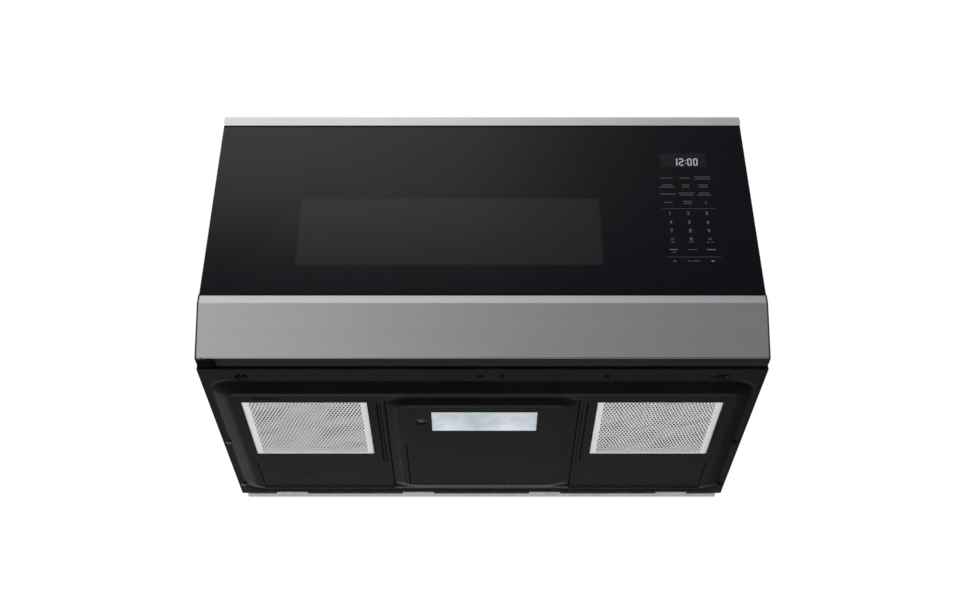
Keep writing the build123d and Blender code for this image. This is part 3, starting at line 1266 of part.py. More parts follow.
def hv_capacitor():
    """Oval high-voltage capacitor standing on the shelf."""
    y = CASE_BACK - CAPACITOR_SETBACK
    corner = CAPACITOR_DEPTH / 2 - FIT
    can = patch(around(CAPACITOR_X, CAPACITOR_WIDTH), around(y, CAPACITOR_DEPTH), corner)
    top = ON_SHELF + CAPACITOR_HEIGHT
    can = level(can, (ON_SHELF, top))
    for x in around(CAPACITOR_X, CAPACITOR_WIDTH / 2):
        can = can + block(around(x, SHEET), around(y, 2 * FRAME_WALL), (top - SHEET, top + TERMINAL_HEIGHT))
    return can


def power_board():
    """Power and relay board on standoffs at the case's right side."""
    y = (CASE_FRONT + POWER_BOARD_SETBACK, CASE_FRONT + POWER_BOARD_SETBACK + POWER_BOARD_LENGTH)
    z = (CAVITY_FLOOR + POWER_BOARD_LIFT - POWER_BOARD_HEIGHT, CAVITY_FLOOR + POWER_BOARD_LIFT)
    face = IN_RIGHT - STANDOFF_LENGTH
    board = block((face - BOARD_THICKNESS, face), y, z)
    for place_y in grow(y, -2 * STANDOFF_RADIUS):
        for place_z in grow(z, -2 * STANDOFF_RADIUS):
            board = board + lengthwise(disc((place_y, place_z), STANDOFF_RADIUS), (face - SHEET, IN_RIGHT))
    near = face - BOARD_THICKNESS
    for share in (0.25, 0.5, 0.75):
        middle = y[0] + share * POWER_BOARD_LENGTH
        relay_z = around(z[0] + share * POWER_BOARD_HEIGHT, RELAY_HEIGHT)
        board = board + block((near - RELAY_HEIGHT, near + FIT), around(middle, RELAY_HEIGHT), relay_z)
    return board


def cooling_fan_housing():
    """Duct ring and plate of the cooling fan, standing on the back panel by four legs."""
    back = IN_BACK - SHEET - FIT - COOLING_MOTOR_LENGTH
    y = (back - COOLING_WIDTH - 2 * AIR, back)
    centre = (COOLING_X, ANTENNA_Z)
    bore = COOLING_RADIUS + COOLING_TIP_GAP
    x, z = around(COOLING_X, COOLING_PLATE), around(ANTENNA_Z, COOLING_PLATE)
    plate = upright(patch(x, z, FRAME_WALL) - disc(centre, bore), (y[1] - COOLING_RING_WALL, y[1]))
    ring = upright(disc(centre, bore + COOLING_RING_WALL) - disc(centre, bore), y)
    housing = plate + ring
    for leg_x in ((x[0], x[0] + COOLING_LEG), (x[1] - COOLING_LEG, x[1])):
        for leg_z in ((z[0], z[0] + COOLING_LEG), (z[1] - COOLING_LEG, z[1])):
            housing = housing + block(leg_x, (y[1] - SHEET, CASE_BACK - SHEET - FIT), leg_z)
    return housing


def cooling_fan_motor():
    """Motor of the cooling fan on the back panel."""
    y = (CASE_BACK - SHEET - FIT - COOLING_MOTOR_LENGTH, CASE_BACK - SHEET - FIT)
    centre = (COOLING_X, ANTENNA_Z)
    motor = upright(disc(centre, COOLING_MOTOR_RADIUS), y)
    return motor - upright(disc(centre, COOLING_SHAFT + RUN_FIT), (y[0] - SHEET, y[1] - FRAME_WALL))


def cooling_fan_wheel():
    """Five-bladed fan wheel with its shaft."""
    back = CASE_BACK - SHEET - FIT - COOLING_MOTOR_LENGTH - AIR
    y = (back - COOLING_WIDTH, back)
    centre = (COOLING_X, ANTENNA_Z)
    wheel = upright(disc(centre, COOLING_HUB), y)
    blade = Box(COOLING_RADIUS - COOLING_HUB / 2, 2 * SHEET, COOLING_WIDTH * 1.1)
    blade = Rot(35, 0, 0) * Pos((COOLING_RADIUS + COOLING_HUB / 2) / 2, 0, 0) * blade
    turned = Pos(COOLING_X, (y[0] + y[1]) / 2, ANTENNA_Z)
    for index in range(COOLING_BLADES):
        angle = 360 / COOLING_BLADES * index
        wheel = wheel + turned * Rot(0, angle, 0) * Rot(90, 0, 0) * blade
    shaft_end = back + AIR + COOLING_MOTOR_LENGTH - FRAME_WALL - AIR
    return wheel + upright(disc(centre, COOLING_SHAFT), (y[0], shaft_end))


# ------------------------------------------------------------------ hood blower
def scroll_outline(inset):
    """Y-Z outline of one blower scroll with its outlet towards the front."""
    radius = SCROLL_RADIUS - inset
    outlet = patch((BLOWER_Y - SCROLL_OUTLET, BLOWER_Y), (BLOWER_Z + inset, BLOWER_Z + radius))
    return disc((BLOWER_Y, BLOWER_Z), radius) + outlet


def blower_housing():
    """Two scrolls joined by a plate under the motor."""
    mouth_y = (BLOWER_Y - SCROLL_OUTLET - SHEET, BLOWER_Y - SCROLL_RADIUS)
    open_front = patch(mouth_y, (BLOWER_Z + SCROLL_WALL, BLOWER_Z + SCROLL_RADIUS - SCROLL_WALL))
    hollow = scroll_outline(SCROLL_WALL) + open_front
    inlet = disc((BLOWER_Y, BLOWER_Z), SCROLL_INLET)
    scrolls = []
    for side in (-1, 1):
        x = sorted((side * SCROLL_START, side * (SCROLL_START + SCROLL_LENGTH)))
        scroll = lengthwise(scroll_outline(0), x) - lengthwise(hollow, grow(x, -SCROLL_WALL))
        scrolls.append(scroll - lengthwise(inlet, grow(x, SHEET)))
    reach = SCROLL_START + SCROLL_WALL
    foot_y = (BLOWER_Y + BLOWER_MOTOR_FOOT / 2 + AIR, BLOWER_Y + SCROLL_RADIUS)
    foot = block((-reach, reach), foot_y, (OVER_CAVITY, OVER_CAVITY + 2 * SCROLL_WALL))
    for side in (-1, 1):
        x = sorted((side * SCROLL_START, side * (SCROLL_START + SCROLL_WALL)))
        web = block(x, foot_y, (OVER_CAVITY, BLOWER_Z))
        foot = foot + (web - lengthwise(inlet, grow(x, SHEET)))
    return scrolls[0] + scrolls[1] + foot


def blower_motor():
    """Hood motor between the scrolls, on a foot over the oven."""
    x = around(0, BLOWER_MOTOR_LENGTH)
    centre = (BLOWER_Y, BLOWER_Z)
    motor = lengthwise(disc(centre, BLOWER_MOTOR_RADIUS), x)
    foot_y = around(BLOWER_Y, BLOWER_MOTOR_FOOT)
    motor = motor + block(grow(x, -BLOWER_MOTOR_LENGTH / 4), foot_y, (OVER_CAVITY, BLOWER_Z))
    return motor - lengthwise(disc(centre, BLOWER_SHAFT + RUN_FIT), grow(x, SHEET))


def blower_wheel(side):
    """One squirrel-cage wheel: disc and hub at the motor's side, blades, ring at the far end."""
    start = SCROLL_START + SCROLL_WALL + 2 * AIR + FRAME_WALL
    near, far = start, start + WHEEL_LENGTH
    centre = (BLOWER_Y, BLOWER_Z)
    bore = disc(centre, BLOWER_SHAFT + RUN_FIT)
    wheel = lengthwise(disc(centre, WHEEL_RADIUS) - bore, (near, near + WHEEL_DISC))
    ring = disc(centre, WHEEL_RADIUS) - disc(centre, WHEEL_RADIUS - WHEEL_RING)
    wheel = wheel + lengthwise(ring, (far - WHEEL_DISC, far))
    wheel = wheel + lengthwise(disc(centre, WHEEL_HUB) - bore, (near, near + 3 * WHEEL_HUB))
    blade = Rot(0, 0, 35) * Rectangle(WHEEL_RING, WHEEL_BLADE_THICKNESS)
    blade = Pos(WHEEL_RADIUS - WHEEL_RING / 2, 0) * blade
    turns = [360 / WHEEL_BLADES * index for index in range(WHEEL_BLADES)]
    blades = [Pos(*centre) * Rot(0, 0, turn) * blade for turn in turns]
    wheel = wheel + lengthwise(Sketch() + blades, (near + FIT, far - FIT))
    return wheel if side > 0 else mirror(wheel, Plane.YZ)


def blower_rotor():
    """Both wheels and the shaft that runs through the motor."""
    end = SCROLL_START + SCROLL_LENGTH / 2
    shaft = lengthwise(disc((BLOWER_Y, BLOWER_Z), BLOWER_SHAFT), (-end, end))
    return Compound(children=[blower_wheel(-1), blower_wheel(1), shaft])


# ------------------------------------------------------------------ mounting and fasteners
def mounting_plate():
    """Steel plate on the wall: the case's rear edge rests on its tabs."""
    x = around(0, PLATE_WIDTH)
    tab_top = RIM_Z - FIT
    z = (tab_top - PLATE_SHEET, HEIGHT - PLATE_TOP_GAP)
    web = patch(x, z)
    middle = (z[0] + z[1]) / 2
    web = web - patch(around(0, PLATE_WINDOW_WIDTH), around(middle, PLATE_WINDOW_HEIGHT), OPENING_CORNER)
    for hole_x in around(0, WALL_HOLE_SPACING):
        for hole_z in around(middle, WALL_HOLE_RISE):
            web = web - disc((hole_x, hole_z), WALL_HOLE_RADIUS)
    plate = upright(web, (WALL - PLATE_SHEET, WALL))
    plate = plate + block(x, (CASE_BACK + FIT, WALL), (z[0], tab_top))
    plate = plate + block(x, (CASE_BACK + FIT, WALL), (z[1] - PLATE_SHEET, z[1]))
    for index in range(TAB_COUNT):
        tab_x = around((index - (TAB_COUNT - 1) / 2) * TAB_SPACING, TAB_WIDTH)
        plate = plate + block(tab_x, (CASE_BACK - TAB_REACH, CASE_BACK + SHEET), (z[0], tab_top))
    return plate


def base_screw_places():
    """Centres of the screws in the base's rim, on its underside."""
    rail = (LEFT + RAIL_END_INSETS[0], *RAIL_SCREWS, RIGHT - RAIL_END_INSETS[1])
    places = [(x, CASE_FRONT + RAIL_SCREW_SETBACK, RIM_Z) for x in rail]
    for side in (LEFT + SIDE_SCREW_INSET, RIGHT - SIDE_SCREW_INSET):
        places += [(side, CASE_FRONT + back, RIM_Z) for back in SIDE_SCREWS]
    lens_screw_x = LAMP_X - LAMP_OPEN_WIDTH / 2 - LENS_SCREW_GAP
    return places + [(lens_screw_x, LAMP_FRONT + LAMP_OPEN_LENGTH / 2, LENS_SCREW_WELL)]


def back_screw_places():
    """Centres of the screws in the top of the back panel."""
    return [(x, CASE_BACK, HEIGHT - BACK_SCREW_INSET) for x in BACK_SCREWS]


def case_screws():
    """All the screws of the base and the back."""
    screws = [screw(at, (0, 0, 1)) for at in base_screw_places()]
    screws += [screw(at, (0, -1, 0)) for at in back_screw_places()]
    return Compound(children=screws)


NODES = {
    "base_pan": base_pan,
    "side_panels": side_panels,
    "top_panel": top_panel,
    "back_panel": back_panel,
    "front_frame": front_frame,
    "chassis_shelf": chassis_shelf,
    "vent_grille": vent_grille,
    "top_trim": top_trim,
    "charcoal_filter": charcoal_filter,
    "cord_bushing": cord_bushing,
    "lower_hinge": lower_hinge,
    "upper_hinge": upper_hinge,
    "lamp_lens": lamp_lens,
    "lamp_housing": lamp_housing,
    "lamp_board": lamp_board,
    "cavity_shell": cavity_shell,
    "cavity_lamp": cavity_lamp,
    "turntable_motor": turntable_motor,
    "waveguide": waveguide,
    "waveguide_cover": waveguide_cover,
    "magnetron": magnetron,
    "transformer_core": transformer_core,
    "transformer_coils": transformer_coils,
    "hv_capacitor": hv_capacitor,
    "power_board": power_board,
    "cooling_fan_housing": cooling_fan_housing,
    "cooling_fan_motor": cooling_fan_motor,
    "cooling_fan_wheel": cooling_fan_wheel,
    "blower_housing": blower_housing,
    "blower_motor": blower_motor,
    "blower_rotor": blower_rotor,
    "latch_body": latch_body,
    "interlock_switches": interlock_switches,
    "switch_plungers": switch_plungers,
    "mounting_plate": mounting_plate,
    "case_screws": case_screws,
    "door_glass": door_glass,
    "door_band": door_band,
    "door_end_caps": door_end_caps,
    "door_frame": door_frame,
    "door_back_cover": door_back_cover,
    "door_panel": door_panel,
    "door_screen": door_screen,
    "inner_window": inner_window,
    "choke_cover": choke_cover,
    "control_board": control_board,
    "display_module": display_module,
    "door_bushings": door_bushings,
    "latch_spring": latch_spring,
    "latch_key": latch_key,
    "turntable_coupler": turntable_coupler,
    "turntable_tray": turntable_tray,
    "roller_ring": roller_ring,
}


def build():
    """Make every node and write one file for each."""
    os.makedirs("parts", exist_ok=True)
    shapes = {name: make() for name, make in NODES.items()}
    for index in range(ROLLER_COUNT):
        shapes[f"roller_wheel_{index + 1}"] = roller_wheel(index)
    for name, side in (("left", -1), ("right", 1)):
        shapes[f"filter_frame_{name}"] = filter_frame(side)
        shapes[f"filter_mesh_{name}"] = filter_mesh(side)
    for name, shape in shapes.items():
        export_step(shape, f"parts/{name}.step")


build()
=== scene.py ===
"""Over-the-range microwave oven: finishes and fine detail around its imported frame.

Sizes in the code are millimetres; a mesh is scaled to metres when it is made.
"""

import json
import logging
from dataclasses import dataclass, field
from enum import Enum
from math import atan2, ceil, cos, hypot, pi, radians, sin
from typing import Iterable, Sequence

import bmesh
import bpy
from bpy.types import Material, Mesh, Node, NodeSocket, NodeTree, Object, World
from mathutils import Matrix, Vector

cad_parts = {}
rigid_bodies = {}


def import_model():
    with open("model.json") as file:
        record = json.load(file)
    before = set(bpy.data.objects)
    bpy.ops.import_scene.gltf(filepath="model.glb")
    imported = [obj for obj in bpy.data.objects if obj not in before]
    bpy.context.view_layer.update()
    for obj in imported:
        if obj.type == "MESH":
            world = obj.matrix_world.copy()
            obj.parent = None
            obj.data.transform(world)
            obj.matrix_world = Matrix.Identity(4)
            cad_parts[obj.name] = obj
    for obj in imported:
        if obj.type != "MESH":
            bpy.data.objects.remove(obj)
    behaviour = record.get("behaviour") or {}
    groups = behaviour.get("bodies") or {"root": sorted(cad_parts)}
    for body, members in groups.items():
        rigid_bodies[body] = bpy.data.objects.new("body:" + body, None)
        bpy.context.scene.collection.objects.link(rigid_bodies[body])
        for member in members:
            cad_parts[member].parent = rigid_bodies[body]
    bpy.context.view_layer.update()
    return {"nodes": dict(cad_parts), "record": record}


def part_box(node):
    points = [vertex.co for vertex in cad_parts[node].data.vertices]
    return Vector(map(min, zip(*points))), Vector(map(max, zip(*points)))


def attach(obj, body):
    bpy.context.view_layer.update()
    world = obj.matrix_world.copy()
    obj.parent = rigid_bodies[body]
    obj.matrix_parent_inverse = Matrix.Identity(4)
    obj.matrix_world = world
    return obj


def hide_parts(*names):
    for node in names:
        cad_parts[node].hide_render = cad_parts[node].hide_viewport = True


LOG = logging.getLogger("microwave")
MM = 0.001
SHARP_ANGLE = 32.0
CRISP_ANGLE = 25.0
WIDE_FACE = 0.0035
SAME_POINT = 1e-7
ORIGIN = (0, 0, 0)
Point = tuple[float, float]
Point3 = tuple[float, float, float]
Number = int | float
Stops = tuple[Point, ...]
Sockets = dict[str, object]
Settings = Sockets | None
Inputs = dict[str | int, object] | None


class Slot(Enum):
    """Material slots of the record, handed along with each new piece; nothing reads them."""

    PAINT = "black_paint"
    STEEL = "stainless"
    GLASS = "black_glass"
    PLASTIC = "black_plastic"
    ZINC = "galvanised"
    ALUMINIUM = "aluminium"
    SCREW = "steel"


# ---------------------------------------------------------------- node tools
def add_node(tree: NodeTree, kind: str, settings: Settings = None, inputs: Inputs = None) -> Node:
    """Add a node to a tree of a material, of the world or of Geometry Nodes.

    Args:
        tree: The tree.
        kind: Blender's name of the node's type.
        settings: Properties of the node, set before its sockets.
        inputs: Values of its sockets, by name or index; a socket or a list of sockets is linked.

    Returns:
        The node.
    """
    made = tree.nodes.new(kind)
    for name, value in (settings or {}).items():
        setattr(made, name, value)
    for name, value in (inputs or {}).items():
        for single in value if isinstance(value, list) else [value]:
            source = single.socket if isinstance(single, Sock) else single
            if isinstance(source, NodeSocket):
                tree.links.new(source, made.inputs[name])
            else:
                made.inputs[name].default_value = source
    return made


class Sock:
    """A shader socket that takes part in Python expressions."""

    def __init__(self, shader: "Shader", socket: NodeSocket) -> None:
        """Keep the socket and the shader that it belongs to."""
        self.shader = shader
        self.socket = socket

    def _math(self, operation: str, *terms: "Sock | Number") -> "Sock":
        """Value of a Math node."""
        return self.shader.node("ShaderNodeMath", {"operation": operation}, dict(enumerate(terms)), "Value")

    def __add__(self, other: "Sock | Number") -> "Sock":
        """Sum."""
        return self._math("ADD", self, other)

    def __radd__(self, other: Number) -> "Sock":
        """Sum with a number first."""
        return self._math("ADD", other, self)

    def __sub__(self, other: "Sock | Number") -> "Sock":
        """Difference."""
        return self._math("SUBTRACT", self, other)

    def __rsub__(self, other: Number) -> "Sock":
        """Difference with a number first."""
        return self._math("SUBTRACT", other, self)

    def __mul__(self, other: "Sock | Number") -> "Sock":
        """Product."""
        return self._math("MULTIPLY", self, other)

    def magnitude(self) -> "Sock":
        """Absolute value."""
        return self._math("ABSOLUTE", self)

    def at_least(self, other: "Sock | Number") -> "Sock":
        """The larger of two values."""
        return self._math("MAXIMUM", self, other)

    def sine(self) -> "Sock":
        """Sine."""
        return self._math("SINE", self)


class Shader:
    """Node tree of one material or of the world."""

    def __init__(self, owner: Material | World) -> None:
        """Empty the tree of a material or world.

        Args:
            owner: The material or world that gets the tree.
        """
        owner.use_nodes = True
        self.owner = owner
        self.tree = owner.node_tree
        self.tree.nodes.clear()

    def node(self, kind: str, settings: Settings, inputs: Inputs, output: str | int) -> Sock:
        """One output of an added node."""
        return Sock(self, add_node(self.tree, kind, settings, inputs).outputs[output])

    def place(self) -> Sock:
        """Object coordinates, in metres."""
        return self.node("ShaderNodeTexCoord", {}, {}, "Object")

    def stretched(self, vector: Sock, scale: Point3) -> Sock:
        """Coordinates scaled along each axis."""
        inputs = {"Vector": vector, "Scale": scale}
        return self.node("ShaderNodeMapping", {"vector_type": "POINT"}, inputs, "Vector")

    def axes(self, vector: Sock) -> tuple[Sock, Sock, Sock]:
        """The three coordinates of a vector."""
        parts = add_node(self.tree, "ShaderNodeSeparateXYZ", {}, {0: vector})
        return tuple(Sock(self, parts.outputs[axis]) for axis in "XYZ")

    def noise(self, vector: Sock, scale: float, detail: float = 2.0, rough: float = 0.5) -> Sock:
        """Noise from 0 to 1."""
        inputs = {"Vector": vector, "Scale": scale, "Detail": detail, "Roughness": rough}
        return self.node("ShaderNodeTexNoise", {}, inputs, "Fac")

    def cells(
        self, vector: Sock, scale: float, output: str = "Distance", distance: str = "EUCLIDEAN"
    ) -> Sock:
        """Voronoi cells."""
        inputs = {"Vector": vector, "Scale": scale}
        return self.node("ShaderNodeTexVoronoi", {"distance": distance}, inputs, output)

    def spread(self, value: Sock, low: float, high: float) -> Sock:
        """Value of a range moved to 0 to 1 and held at its ends."""
        return self.node("ShaderNodeMapRange", {"clamp": True}, {"Value": value, 1: low, 2: high}, "Result")

    def eased(self, value: Sock, low: float, high: float) -> Sock:
        """0 below the low value and 1 above the high one, with a smooth step between."""
        settings = {"clamp": True, "interpolation_type": "SMOOTHSTEP"}
        return self.node("ShaderNodeMapRange", settings, {"Value": value, 1: low, 2: high}, "Result")

    def greys(self, value: Sock, stops: Stops) -> Sock:
        """Grey level read from a row of stops.

        Args:
            value: Place in the row, from 0 to 1.
            stops: Places and their levels.

        Returns:
            The grey.
        """
        made = add_node(self.tree, "ShaderNodeValToRGB", {}, {"Fac": value})
        elements = made.color_ramp.elements
        elements.remove(elements[-1])
        elements[0].position = stops[0][0]
        for place, _ in stops[1:]:
            elements.new(place)
        for element, (_, grey) in zip(elements, stops):
            element.color = (grey, grey, grey, 1.0)
        return Sock(self, made.outputs["Color"])

    def mixed(self, factor: Sock, first: Sock | Point3, second: Sock | Point3) -> Sock:
        """Blend of two colours: the first at 0, the second at 1."""
        pair = [colour if isinstance(colour, Sock) else (*colour, 1.0) for colour in (first, second)]
        return self.node("ShaderNodeMix", {"data_type": "RGBA"}, {0: factor, 6: pair[0], 7: pair[1]}, 2)

    def bump(self, height: Sock, depth: float, strength: float) -> Sock:
        """Normal from a height; depth in metres."""
        inputs = {"Height": height, "Distance": depth, "Strength": strength}
        return self.node("ShaderNodeBump", {}, inputs, "Normal")

    def surface(self, inputs: Sockets) -> Sock:
        """Principled surface."""
        return self.node("ShaderNodeBsdfPrincipled", {}, inputs, "BSDF")

    def end(self, kind: str, result: Sock) -> Material | World:
        """End the tree in an output node of that kind."""
        add_node(self.tree, kind, {}, {"Surface": result})
        return self.owner


def shaded(colour: Point3, factor: float, lift: float = 0.0) -> Point3:
    """Colour made lighter or darker."""
    return tuple(min(1.0, c * factor + lift) for c in colour)


# ---------------------------------------------------------------- finishes
@dataclass(frozen=True)
class Finish:
    """What all finishes share: a name, a colour and a Principled surface."""

    name: str
    colour: Point3

    def sockets(self, shader: Shader, place: Sock) -> Sockets:
        """What the sockets of the surface take.

        Args:
            shader: Shader of the new material.
            place: Its object coordinates.

        Returns:
            Values and links, by the sockets' names.
        """
        raise NotImplementedError

    def build(self) -> Material:
        """Make the material.

        Returns:
            The material.
        """
        shader = Shader(bpy.data.materials.new(self.name))
        surface = shader.surface(self.sockets(shader, shader.place()))
        return shader.end("ShaderNodeOutputMaterial", surface)


@dataclass(frozen=True)
class BrushedMetal(Finish):
    """Sheet metal with fine brush lines along one axis."""

    roughness: float
    along: int = 0
    lines: float = 1500.0
    depth: float = 0.000012
    contrast: float = 0.12
    metallic: float = 1.0
    squeeze: float = 0.008

    def sockets(self, shader: Shader, place: Sock) -> Sockets:
        """Fine and broad lines, with clouds in the shine.

        Args:
            shader: Shader of the new material.
            place: Its object coordinates.

        Returns:
            Values and links of the sockets.
        """
        scale = [1.0, 1.0, 1.0]
        scale[self.along] = self.squeeze
        drawn = shader.stretched(place, tuple(scale))
        grain = shader.noise(drawn, self.lines, 3.0, 0.6)
        broad = shader.noise(drawn, self.lines / 9)
        cloud = shader.noise(place, 6.0)
        lines = grain * 0.65 + broad * 0.35
        dark, light = (shaded(self.colour, 1 + side * self.contrast) for side in (-1, 1))
        return {
            "Base Color": shader.mixed(shader.spread(lines, 0.3, 0.7), dark, light),
            "Metallic": self.metallic,
            "Roughness": self.roughness + (lines - 0.5) * 0.08 + (cloud - 0.5) * 0.05,
            "Normal": shader.bump(lines, self.depth, 0.5),
        }


@dataclass(frozen=True)
class Paint(Finish):
    """Baked paint on sheet steel, with a fine orange peel."""

    roughness: float = 0.42
    peel: float = 0.00002
    dust: float = 0.25
    shine: float = 0.4

    def sockets(self, shader: Shader, place: Sock) -> Sockets:
        """Orange peel with a little dust in clouds.

        Args:
            shader: Shader of the new material.
            place: Its object coordinates.

        Returns:
            Values and links of the sockets.
        """
        peel = shader.noise(place, 900.0)
        cloud = shader.noise(place, 9.0, 3.0)
        dusty = shaded(self.colour, 1 + self.dust, 0.001)
        return {
            "Base Color": shader.mixed(shader.spread(cloud, 0.35, 0.7), self.colour, dusty),
            "Roughness": self.roughness + (cloud - 0.5) * 0.12 + (peel - 0.5) * 0.08,
            "Specular IOR Level": self.shine,
            "Normal": shader.bump(peel, self.peel, 0.6),
        }


@dataclass(frozen=True)
class Plastic(Finish):
    """Moulded plastic with a fine eroded grain."""

    roughness: float = 0.5
    grain: float = 1600.0

    def sockets(self, shader: Shader, place: Sock) -> Sockets:
        """Eroded grain under faint clouds.

        Args:
            shader: Shader of the new material.
            place: Its object coordinates.

        Returns:
            Values and links of the sockets.
        """
        cloud = shader.noise(place, 14.0)
        return {
            "Base Color": shader.mixed(cloud, self.colour, shaded(self.colour, 1.12, 0.001)),
            "Roughness": self.roughness + (cloud - 0.5) * 0.1,
            "Normal": shader.bump(shader.cells(place, self.grain), 0.00003, 0.5),
        }


@dataclass(frozen=True)
class SoftPatch:
    """Rectangle with a soft edge on the door's glass, in millimetres."""

    x: Point
    z: Point
    edge: float
    colour: Point3

    def mask(self, shader: Shader, x: Sock, z: Sock) -> Sock:
        """1 inside, 0 outside.

        Args:
            shader: Shader that the mask is for.
            x: Coordinate across the door.
            z: Coordinate up the door.

        Returns:
            The mask.
        """
        outside = [
            (at - (low + high) / 2 * MM).magnitude() - (high - low) / 2 * MM
            for at, (low, high) in ((x, self.x), (z, self.z))
        ]
        return 1 - shader.eased(outside[0].at_least(outside[1]), -self.edge * MM, self.edge * MM)


@dataclass(frozen=True)
class DoorGlass(Finish):
    """Black glass: clear pane over a dark print with a screened window and a display."""

    window: SoftPatch
    display: SoftPatch
    dot_pitch: float = 2.2

    def sockets(self, shader: Shader, place: Sock) -> Sockets:
        """Window of fine dots and a display in the print, under a faintly smeared pane.

        Args:
            shader: Shader of the new material.
            place: Its object coordinates.

        Returns:
            Values and links of the sockets.
        """
        x, _, z = shader.axes(place)
        turns = 2 * pi / (self.dot_pitch * MM)
        dots = shader.eased((x * turns).sine() * (z * turns).sine(), -0.2, 0.5)
        seen = shader.mixed(dots, self.window.colour, shaded(self.window.colour, 0.72))
        colour = shader.mixed(self.window.mask(shader, x, z), self.colour, seen)
        smear = shader.noise(place, 11.0, 4.0, 0.6)
        return {
            "Base Color": shader.mixed(self.display.mask(shader, x, z), colour, self.display.colour),
            "Roughness": 0.07 + shader.spread(smear, 0.45, 0.75) * 0.05,
            "Specular IOR Level": 0.5,
            "Normal": shader.bump(shader.noise(place, 3.5, 1.0), 0.00025, 0.3),
        }


@dataclass(frozen=True)
class ClearGlass(Finish):
    """Clear pane or tray with a faint film."""

    alpha: float

    def sockets(self, shader: Shader, place: Sock) -> Sockets:
        """Faint film on a clear body.

        Args:
            shader: Shader of the new material.
            place: Its object coordinates.

        Returns:
            Values and links of the sockets.
        """
        film = shader.noise(place, 18.0, 3.0)
        return {
            "Base Color": shader.mixed(film, self.colour, shaded(self.colour, 1.04)),
            "Roughness": 0.05 + shader.spread(film, 0.4, 0.8) * 0.07,
            "Alpha": self.alpha + (film - 0.5) * 0.06,
            "Specular IOR Level": 0.6,
        }


@dataclass(frozen=True)
class LitLens(Finish):
    """Lamp lens, lit from behind by two diodes."""

    glow: Point3
    shade: Point3
    strength: float
    diodes: tuple[Point, ...]
    falloff: Point = (18.0, 20.0)
    shares: Point = (0.6, 0.6)

    def sockets(self, shader: Shader, place: Sock) -> Sockets:
        """Glow that falls off from each diode, broken by the moulded ripples.

        Args:
            shader: Shader of the new material.
            place: Its object coordinates.

        Returns:
            Values and links of the sockets.
        """
        x, y, _ = shader.axes(place)
        light: Sock | float = 0.0
        for across, back in self.diodes:
            beside = ((x - across * MM) * self.falloff[0]).magnitude()
            behind = ((y - back * MM) * self.falloff[1]).magnitude()
            light = light + (1 - shader.eased(beside + behind, 0.0, 1.0)) * self.shares[0]
        ripple = shader.noise(place, 40.0)
        level = shader.spread(light + shader.spread(ripple, 0.3, 0.7) * self.shares[1], 0.0, 1.0)
        return {
            "Base Color": shader.mixed(ripple, self.colour, shaded(self.colour, 0.9)),
            "Roughness": 0.25 + ripple * 0.1,
            "Emission Color": shader.mixed(level, self.shade, self.glow),
            "Emission Strength": self.strength,
            "Normal": shader.bump(ripple, 0.0004, 0.5),
        }


@dataclass(frozen=True)
class Zinc(Finish):
    """Zinc-coated sheet with its large crystals."""

    roughness: float = 0.42
    metallic: float = 0.85

    def sockets(self, shader: Shader, place: Sock) -> Sockets:
        """Crystals of the coat, each with its own shine.

        Args:
            shader: Shader of the new material.
            place: Its object coordinates.

        Returns:
            Values and links of the sockets.
        """
        shade, _, _ = shader.axes(shader.cells(place, 95.0, "Color"))
        cloud = shade * 0.6 + shader.noise(place, 60.0) * 0.4
        return {
            "Base Color": shader.mixed(cloud, shaded(self.colour, 0.86), shaded(self.colour, 1.1)),
            "Metallic": self.metallic,
            "Roughness": self.roughness + (shade - 0.5) * 0.14,
            "Normal": shader.bump(cloud, 0.00003, 0.4),
        }


@dataclass(frozen=True)
class Enamel(Finish):
    """Baked enamel of the oven's inside, grey with fine specks."""

    speck: Point3

    def sockets(self, shader: Shader, place: Sock) -> Sockets:
        """Fine specks in a glossy coat.

        Args:
            shader: Shader of the new material.
            place: Its object coordinates.

        Returns:
            Values and links of the sockets.
        """
        specks = shader.eased(shader.cells(place, 420.0), 0.12, 0.2)
        peel = shader.noise(place, 500.0)
        return {
            "Base Color": shader.mixed(specks, self.speck, self.colour),
            "Roughness": 0.24 + peel * 0.12,
            "Normal": shader.bump(peel, 0.00005, 0.5),
        }


@dataclass(frozen=True)
class Banded(Finish):
    """Stacked or wound stuff: lamellas of a core or turns of a coil."""

    dark: Point3
    pitch: float
    along: int
    metallic: float

    def sockets(self, shader: Shader, place: Sock) -> Sockets:
        """Even bands along one axis.

        Args:
            shader: Shader of the new material.
            place: Its object coordinates.

        Returns:
            Values and links of the sockets.
        """
        wave = (shader.axes(place)[self.along] * (2 * pi / (self.pitch * MM))).sine()
        line = shader.spread(wave, -1.0, 1.0)
        noise = shader.noise(place, 120.0, 3.0)
        return {
            "Base Color": shader.mixed(line * 0.8 + noise * 0.2, self.dark, self.colour),
            "Metallic": self.metallic,
            "Roughness": 0.4 + noise * 0.2,
            "Normal": shader.bump(line, 0.0002, 0.7),
        }


@dataclass(frozen=True)
class Granules(Finish):
    """Rough filling or pressed stuff such as charcoal, mica or rubber."""

    light: Point3
    size: float
    roughness: float = 0.85

    def sockets(self, shader: Shader, place: Sock) -> Sockets:
        """Grains of one size in two tones.

        Args:
            shader: Shader of the new material.
            place: Its object coordinates.

        Returns:
            Values and links of the sockets.
        """
        cells = shader.cells(place, 1000.0 / self.size)
        tone = shader.noise(place, 300.0 / self.size, 3.0)
        return {
            "Base Color": shader.mixed(shader.spread(tone, 0.4, 0.7), self.colour, self.light),
            "Roughness": self.roughness + (tone - 0.5) * 0.2,
            "Normal": shader.bump(cells, self.size * 0.3 * MM, 0.7),
        }


